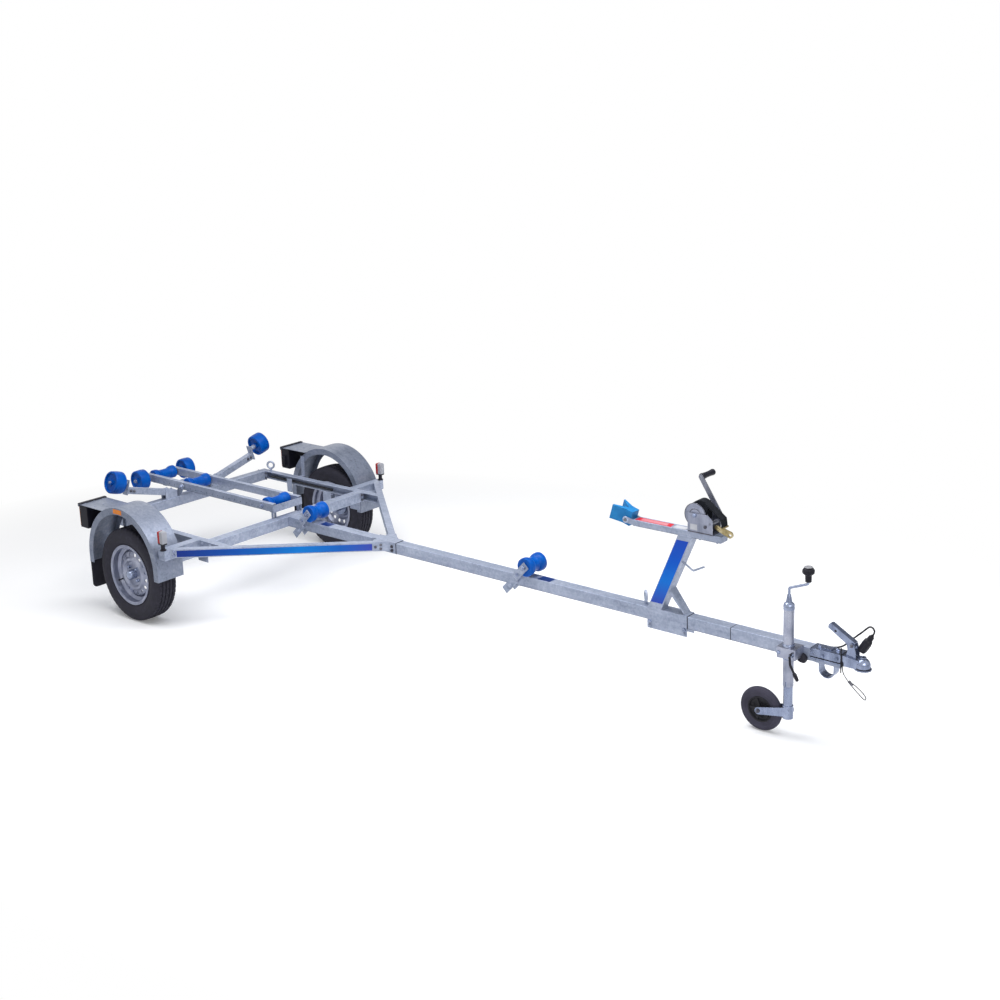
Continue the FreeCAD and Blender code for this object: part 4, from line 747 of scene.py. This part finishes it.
bm = bmesh.new()
for side in (1, -1):
    y = side * (BAR_HALF - INSET)
    for z, index in ((FRAME_TOP - SUNK, LIT), (BAR_LOW + SUNK, SHADED)):
        for start, end in ((468, 1190), (1376, 3080), (3308, 3540), (3544, 3950)):
            corner(bm, (start, y, z), (end, y, z), index=index)
    for rear, front in CROSSBARS:
        for x in (rear + INSET, front - INSET):
            corner(bm, (x, 0, FRAME_TOP - SUNK), (x, side * RAIL_PLATE_Y, FRAME_TOP - SUNK))
    for rail_y in (RAIL_IN + INSET, RAIL_OUT - INSET):
        corner(bm, (-530, side * rail_y, FRAME_TOP - SUNK), (590, side * rail_y, FRAME_TOP - SUNK))
    for z, index in ((MAST_TOP - SUNK, LIT), (MAST_LOW + SUNK, SHADED)):
        corner(bm, (3000, y, z), (3486, y, z), 1.2, index)
make("bar_corners_painted_light_and_shade", bm, [PALE_GALV_AND_PAINTED_HIGHLIGHT, PAINTED_SHADE_GALV], "frame")
# The cradle's corners: painted highlights on the upper ones, painted shade on the lower one
bm = bmesh.new()
for side in (1, -1):
    for y, z, index in ((CRADLE_IN + INSET, 311.3, LIT), (CRADLE_OUT - INSET, 311.3, LIT),
                        (CRADLE_OUT - INSET, 264.7, SHADED)):
        corner(bm, (CRADLE_REAR, side * y, z), (CRADLE_FRONT, side * y, z), 1.1, index)
make("cradle_corners_painted_light_and_shade", bm, [PALE_GALV_AND_PAINTED_HIGHLIGHT, PAINTED_SHADE_GALV], "cradle")

# Weld beads at the post, its brace, the crossbars, the outriggers and the axle's seats
THICK_BEAD = 2.6
bm = bmesh.new()
for side in (1, -1):
    y = side * BAR_HALF
    for x, z in ((POST_X, POST_FOOT), (post_x(MAST_LOW), MAST_LOW)):
        bead(bm, (x - POST_HALF, y, z), (x + POST_HALF, y, z), THICK_BEAD)
    for x, face in ((407, RAIL_PLATE_Y), (467, RAIL_PLATE_Y), (-530, RAIL_PLATE_Y), (-470, RAIL_PLATE_Y),
                    (316, RAIL_OUT), (376, RAIL_OUT)):
        bead(bm, (x, side * face, BAR_LOW + 2), (x, side * face, FRAME_TOP - 2))
    for x in (111, 161):
        bead(bm, (x, side * 560, 89), (x, side * 640, 89))
for x in (POST_X - POST_HALF, POST_X + POST_HALF):
    bead(bm, (x, -BAR_HALF, POST_FOOT), (x, BAR_HALF, POST_FOOT), THICK_BEAD)
bead(bm, (3293, -25, POST_FOOT), (3293, 25, POST_FOOT))
make("weld_beads", bm, [GALV], "frame")

# Dark joint lines: the collar's front, the saddle's front and the seam in the drawbar
bm = bmesh.new()
for x, width, proud in ((COLLAR_FRONT, 3.0, 2.0), (SADDLE_FRONT, 2.6, 1.6), (BAR_SEAM, 3.4, 0.35)):
    y, low, high = BAR_HALF + proud, BAR_LOW - proud, FRAME_TOP + proud
    slab(bm, [(x, -y, low), (x, y, low), (x, y, high), (x, -y, high)], X * width)
make("joint_lines", bm, [BLACK], "frame")

# Coupling: lips, painted shadow lines and a top plate; painted shadow at the cup's rim, and its cap; the lever's
# roll, its hole as painted shade, and its spring
bm = bmesh.new()
length = (3952, 4104)
for side in (1, -1):
    side_strip(bm, side, COUPLING_Y, length, (174, 181), 4)
    side_strip(bm, side, COUPLING_Y, length, (217, COUPLING_TOP), 2)
    # A black strip of painted shadow under each lip
    side_strip(bm, side, COUPLING_Y, length, (181, 185), 1, 1)
# A black ring of painted shadow at the cup's rim, above its lip
lathe(bm, [(33.0, 174), (34.2, 174), (34.2, 178), (33.0, 178)], (4188, 0, 0), Z, 40, 1)
lathe(bm, [(0, -15), (9.5, -15), (9.5, 15), (0, 15)], (4037, 0, 341), Y, 24)
# A black disc of painted shade that stands for the hole in the lever
lathe(bm, [(0, -14.3), (5.5, -14.3), (5.5, 14.3), (0, 14.3)], (4062, 0, 322), Y, 20, 1)
lathe(bm, [(0, 0), (16, 0), (16, 3), (12, 5), (11, 2.5), (0, 2.5)], (4186, 0, 221.5), Z, 32)
plate = [(x, y, COUPLING_TOP) for x, y in ((4000, -16), (4044, -16), (4044, 16), (4000, 16))]
slab(bm, plate, Z * 6)
spring = [(4150 + 5 * math.cos(t / 2), -12 + 24 * t / 60, 262 + 5 * math.sin(t / 2)) for t in range(61)]
tube(bm, spring, 1.3, 6)
make("coupling_detail", bm, [ZINC, BLACK], "frame")

# Jack: its cap, a thread collar and a clamp ring
bm = bmesh.new()
cap = [(24.2, 404), (25.4, 405), (25.4, 424), (23, 431), (15, 437), (12, 452), (9.5, 468), (7.5, 474),
       (6.2, 474)]
lathe(bm, cap, JACK, Z)
lathe(bm, [(24.1, 232), (27, 232), (28, 234), (28, 239), (27, 241), (24.1, 241)], JACK, Z)
lathe(bm, [(24.1, 170), (26.5, 170), (26.5, 175.5), (24.1, 175.5)], JACK, Z)
make("jack_cap", bm, [ZINC], "frame")

# The grey disc and the grips of the jack's knob
bm = bmesh.new()
knob = JACK + Vector((92, 0, 551))
lathe(bm, [(0, 67.8), (19, 66.6), (19, 68.4), (17.5, 69.4), (0, 69.8)], knob, Z, 32, 1)
GRIPS = 10
for i in range(GRIPS):
    a = 2 * math.pi * i / GRIPS
    out = Vector((math.cos(a), math.sin(a), 0))
    tube(bm, [knob + out * r + Z * z for r, z in ((24.6, 41), (25.8, 48), (25.4, 55))], 2.2, 8)
make("jack_knob_trim", bm, [BLACK, GREY], "frame")

# Jockey wheel: ribs on its tyre, rims and spokes on its hub, and the nuts on its axle
bm = bmesh.new()
for side in (1, -1):
    for r, y in ((92, 18.6), (74, 18.0)):
        rib = [(r - 2, y - 2), (r - 1.4, y + 0.6), (r + 1.4, y + 0.6), (r + 2, y - 2)]
        lathe(bm, rib, JOCKEY_AXLE, Y * side, 64)
make("jockey_tyre_ribs", bm, [JOCKEY], "jockey_wheel")
bm = bmesh.new()
SPOKES = 5
for side in (1, -1):
    out = Y * side
    lathe(bm, [(52, 8), (56, 17), (61, 17), (62, 14)], JOCKEY_AXLE, out, 64)
    lathe(bm, [(13, 0), (13, 4), (54, 5), (54, 0)], JOCKEY_AXLE, out, 64)
    for i in range(SPOKES):
        a = 2 * math.pi * (i + 0.5) / SPOKES
        along = Vector((math.cos(a), 0, math.sin(a)))
        across = Vector((-along.z, 0, along.x))
        spoke = [JOCKEY_AXLE + along * r + across * w for r, w in ((14, 5), (53, 3.5), (53, -3.5), (14, -5))]
        slab(bm, [p + out * 7 for p in spoke], out * 7)
make("jockey_spokes", bm, [JOCKEY_HUB], "jockey_wheel")
bm = bmesh.new()
for side in (1, -1):
    nut(bm, JOCKEY_AXLE + Y * side * 36, Y * side, 10)
make("jockey_nuts", bm, [DARK_ZINC], "jack_leg")

# Winch: rolled rims on the drum's flanges and the frame's foot
bm = bmesh.new()
for side in (1, -1):
    out = Y * side
    lathe(bm, [(55.5, 30), (57.9, 29.5), (57.9, 32.5), (56.5, 33.2), (55, 32.4)], DRUM, out, 64)
    lathe(bm, [(28, 31.9), (29, 33), (31, 33), (32, 31.9)], DRUM, out, 48)
    side_strip(bm, side, WINCH_Y, (3316, 3447), (653, 657), 2)
make("winch_rims", bm, [DARK_ZINC], "frame")

# A ratchet wheel and a nut on the crank's shaft, and the pawl on the frame
bm = bmesh.new()
TEETH, TOOTH_ROOT, TOOTH_TIP = 18, (0.0, 22), (0.72, 27)
ring = []
for i in range(TEETH):
    for part, r in (TOOTH_ROOT, TOOTH_TIP):
        a = 2 * math.pi * (i + part) / TEETH
        ring.append(SHAFT + Vector((r * math.cos(a), 52, r * math.sin(a))))
slab(bm, ring, Y * 7)
lathe(bm, [(0, 62), (15, 62), (15, 70), (0, 70)], SHAFT, Y, 32)
nut(bm, SHAFT + Y * 86, Y, 11)
make("winch_ratchet", bm, [ZINC], "winch_crank")
bm = bmesh.new()
pawl = [(x, 52, z) for x, z in ((3396, 730), (3404, 736), (3424, 738), (3417, 731), (3404, 724))]
slab(bm, pawl, Y * 6)
tube(bm, [(3402, 36, 730), (3402, 60, 730)], 4, 12)
make("winch_pawl", bm, [DARK_ZINC], "frame")

# The strap hook's spring latch, and its rivet
hook_low, hook_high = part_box("strap_hook")
hook = LEVEL.inverted() @ ((hook_low + hook_high) / 2)
hook_x, hook_z = hook.x / MM, hook.z / MM
bm = bmesh.new()
latch = [(hook_x + dx, y, hook_z + dz)
         for dx, y, dz in ((-30, -3, 12), (-8, -2, 9), (16, -2, -2), (32, -4, -10))]
tube(bm, latch, 2.2, 8)
lathe(bm, [(0, 0), (5, 0), (5, 3), (0, 4)], (hook_x - 28, -14, hook_z + 9), -Y, 16)
make("hook_latch", bm, [YELLOW], "frame")

# Black sleeve on the jack clamp's lever
bm = bmesh.new()
sleeve = [(3901, -108, 206), (3901, -130, 206), (3904, -136, 200), (3907, -136.5, 166), (3927, -136.5, 130)]
tube(bm, sleeve, 5.7, 12)
make("lever_sleeve", bm, [BLACK], "frame")

# Boot of the plug's parking place behind the jack, and ribs on the plug
bm = bmesh.new()
boot = [(0, 0), (17, 0), (21, 6), (22, 22), (19, 34), (14, 40), (0, 42)]
lathe(bm, boot, (3896, -36, 172), (0.95, -0.1, -0.25), 28)
PLUG_DIR = Vector((-math.sin(PLUG_LEAN), 0, -math.cos(PLUG_LEAN)))
for s, r in ((13, 12.6), (18, 12.9), (23, 13.1), (28, 13.4)):
    lathe(bm, [(r - 2, s - 1.4), (r, s - 1), (r, s + 1), (r - 2, s + 1.4)], PLUG, PLUG_DIR, 28)
side_u, side_v = square_to(PLUG_DIR)
PLUG_RIBS = 8
for i in range(PLUG_RIBS):
    a = 2 * math.pi * i / PLUG_RIBS
    out = side_u * math.cos(a) + side_v * math.sin(a)
    tube(bm, [PLUG + PLUG_DIR * s + out * 19.2 for s in (47, 60, 74, 88)], 1.6, 6)
make("plug_ribs", bm, [RUBBER], "frame")


# Cords: the lamp lead and the safety wire, each on the route of its solid
def cord(name, points, radius, material):
    """A cord on the frame with points as its control points, which stands for the solid of its name."""
    curve = bpy.data.curves.new(name, "CURVE")
    curve.dimensions = "3D"
    spline = curve.splines.new("NURBS")
    spline.points.add(len(points) - 1)
    for p, q in zip(spline.points, points):
        p.co = (*(LEVEL_MM @ Vector(q)), 1)
    spline.order_u = 3
    spline.use_endpoint_u = True
    spline.resolution_u = 12
    curve.bevel_depth = radius * MM
    curve.bevel_resolution = 5
    curve.use_fill_caps = True
    curve.materials.append(material)
    obj = link(name, curve)
    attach(obj, "frame")
    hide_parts(name.replace("_run", ""))
    return obj


FOLD = 20
loop = [(4214 + FOLD * math.cos(math.radians(a)), y, 348 + FOLD * math.sin(math.radians(a)))
        for a, y in ((106, 12), (74, 11), (42, 10), (10, 9))]
lead_points = [(3885, 36, 196), (3924, 58.5, 198), (3975, 62, 203), (4030, 57, 211), (4072, 46, 232),
               (4104, 34, 266), (4140, 24, 301), (4172, 18, 331), (4190, 14.5, 350), *loop,
               tuple(PLUG - PLUG_DIR * 10), tuple(PLUG)]
lead = cord("lead_run", lead_points, 4.0, SHEATH)
wire_points = [(4108.1, -37, 190), (4108.5, -37.4, 166), (4113, -38, 143), (4130, -38.6, 121),
               (4150, -39, 100), (4173, -40, 80), (4197, -41, 61), (4212, -42, 50), (4222, -42.6, 47),
               (4226, -42.4, 56), (4221, -41.8, 66), (4203, -40.8, 82), (4180, -40, 97), (4160, -39.6, 108)]
wire = cord("safety_wire_run", wire_points, 2.1, WIRE)
bm = bmesh.new()
ferrule = [(0, 0), (5.6, 0), (6.4, 2), (6.4, 24), (5.6, 26), (0, 26)]
lathe(bm, ferrule, (4141, -39, 115), (22, -0.6, -21), 20)
make("wire_ferrule", bm, [DARK_ZINC], "frame")

# Camera, from a fit to the photograph: its place is in millimetres, its focal length in pixels
CAMERA_AT = Vector((6627.6, -5256.5, 2669.1))
CAMERA_F, SHIFT_UP = 1370.1, -0.1
YAW, PITCH, ROLL = math.radians(40.376), math.radians(12.510), math.radians(-1.959)
IMAGE, SENSOR = 1000, 36
back = Vector((math.sin(YAW) * math.cos(PITCH), -math.cos(YAW) * math.cos(PITCH), math.sin(PITCH)))
right = Vector((math.cos(YAW), math.sin(YAW), 0))
up = back.cross(right)
across = right * math.cos(ROLL) + up * math.sin(ROLL)
upward = up * math.cos(ROLL) - right * math.sin(ROLL)
turned = Matrix((across, upward, back)).transposed()
camera = link("camera", bpy.data.cameras.new("camera"))
camera.matrix_world = LEVEL @ (Matrix.Translation(CAMERA_AT * MM) @ turned.to_4x4())
camera.data.sensor_width = SENSOR
camera.data.lens = CAMERA_F / IMAGE * SENSOR
camera.data.shift_y = SHIFT_UP
bpy.context.scene.camera = camera

# Floor, from here on in metres: pale near the trailer, fading to white for the camera further out
FLOOR_R, FLOOR_LIFT = 60, 0.13
FADE_START, FADE_END = 1.7, 3.0
FLOOR_STRETCH = (0.62, 1.0, 1.0)
bm = bmesh.new()
bmesh.ops.create_circle(bm, cap_ends=True, radius=FLOOR_R, segments=64)
floor = link("floor", mesh_of("floor", bm))
look = Look("floor", (0.93, 0.93, 0.94), roughness=0.9)
floor.data.materials.append(look.mat)
narrowed = look.add("ShaderNodeVectorMath", operation="MULTIPLY")
narrowed.inputs[1].default_value = FLOOR_STRETCH
look.join(look.place, narrowed.inputs[0])
distance = look.add("ShaderNodeVectorMath", operation="LENGTH")
look.join(narrowed.outputs[0], distance.inputs[0])
fade = look.mapped(distance.outputs["Value"], FADE_START, FADE_END)
seen = look.add("ShaderNodeLightPath").outputs["Is Camera Ray"]
look.shader.inputs["Emission Color"].default_value = (1, 1, 1, 1)
look.join(look.math("MULTIPLY", seen, FLOOR_LIFT), look.shader.inputs["Emission Strength"])
glow = look.add("ShaderNodeEmission")
look.blend(look.math("MULTIPLY", fade, seen), look.shader, glow, "Material Output")

# A dark flag on the far side, seen only in the metal
FLAG_Y, FLAG_X, FLAG_Z = 4.5, (-4.5, 5.5), (1.3, 5.0)
bm = bmesh.new()
corners = [(x, FLAG_Y, FLAG_Z[0]) for x in FLAG_X] + [(x, FLAG_Y, FLAG_Z[1]) for x in FLAG_X[::-1]]
bm.faces.new([bm.verts.new(c) for c in corners])
flag = link("dark_flag", mesh_of("dark_flag", bm))
flag.data.materials.append(Look("flag_black", (0.03, 0.03, 0.04), roughness=0.9).mat)
flag.visible_camera = flag.visible_diffuse = flag.visible_shadow = flag.visible_transmission = False

# World: a dim blue sky as light, and white behind the object and in its gloss and glass
SKY_COLOUR, SKY_STRENGTH = (0.90, 0.94, 1.0, 1), 0.32
WHITE = (1, 1, 1, 1)
world = bpy.data.worlds.new("studio")
bpy.context.scene.world = world
world.use_nodes = True
nodes = Nodes(world.node_tree)
sky = world.node_tree.nodes["Background"]
sky.inputs["Color"].default_value = SKY_COLOUR
sky.inputs["Strength"].default_value = SKY_STRENGTH
white = nodes.add("ShaderNodeBackground")
white.inputs["Color"].default_value = WHITE
rays = nodes.add("ShaderNodeLightPath").outputs
mirrored = nodes.math("MAXIMUM", rays["Is Camera Ray"], rays["Is Glossy Ray"])
shown = nodes.math("MAXIMUM", mirrored, rays["Is Transmission Ray"])
nodes.blend(shown, sky, white, "World Output")


def lamp(name, at, aim, size, power):
    """A rectangular softbox that looks at a point."""
    data = bpy.data.lights.new(name, "AREA")
    data.shape = "RECTANGLE"
    data.size, data.size_y = size
    data.energy = power
    obj = link(name, data)
    obj.location = at
    obj.rotation_euler = (Vector(aim) - Vector(at)).to_track_quat("-Z", "Y").to_euler()


lamp("top_softbox", (0.4, -0.2, 4.2), (0.2, 0, 0), (6.0, 2.4), 265)
lamp("front_softbox", (5.5, -3.0, 2.6), (0.5, 0, 0.3), (3.0, 2.0), 95)
bpy.context.scene.view_settings.view_transform = "Standard"
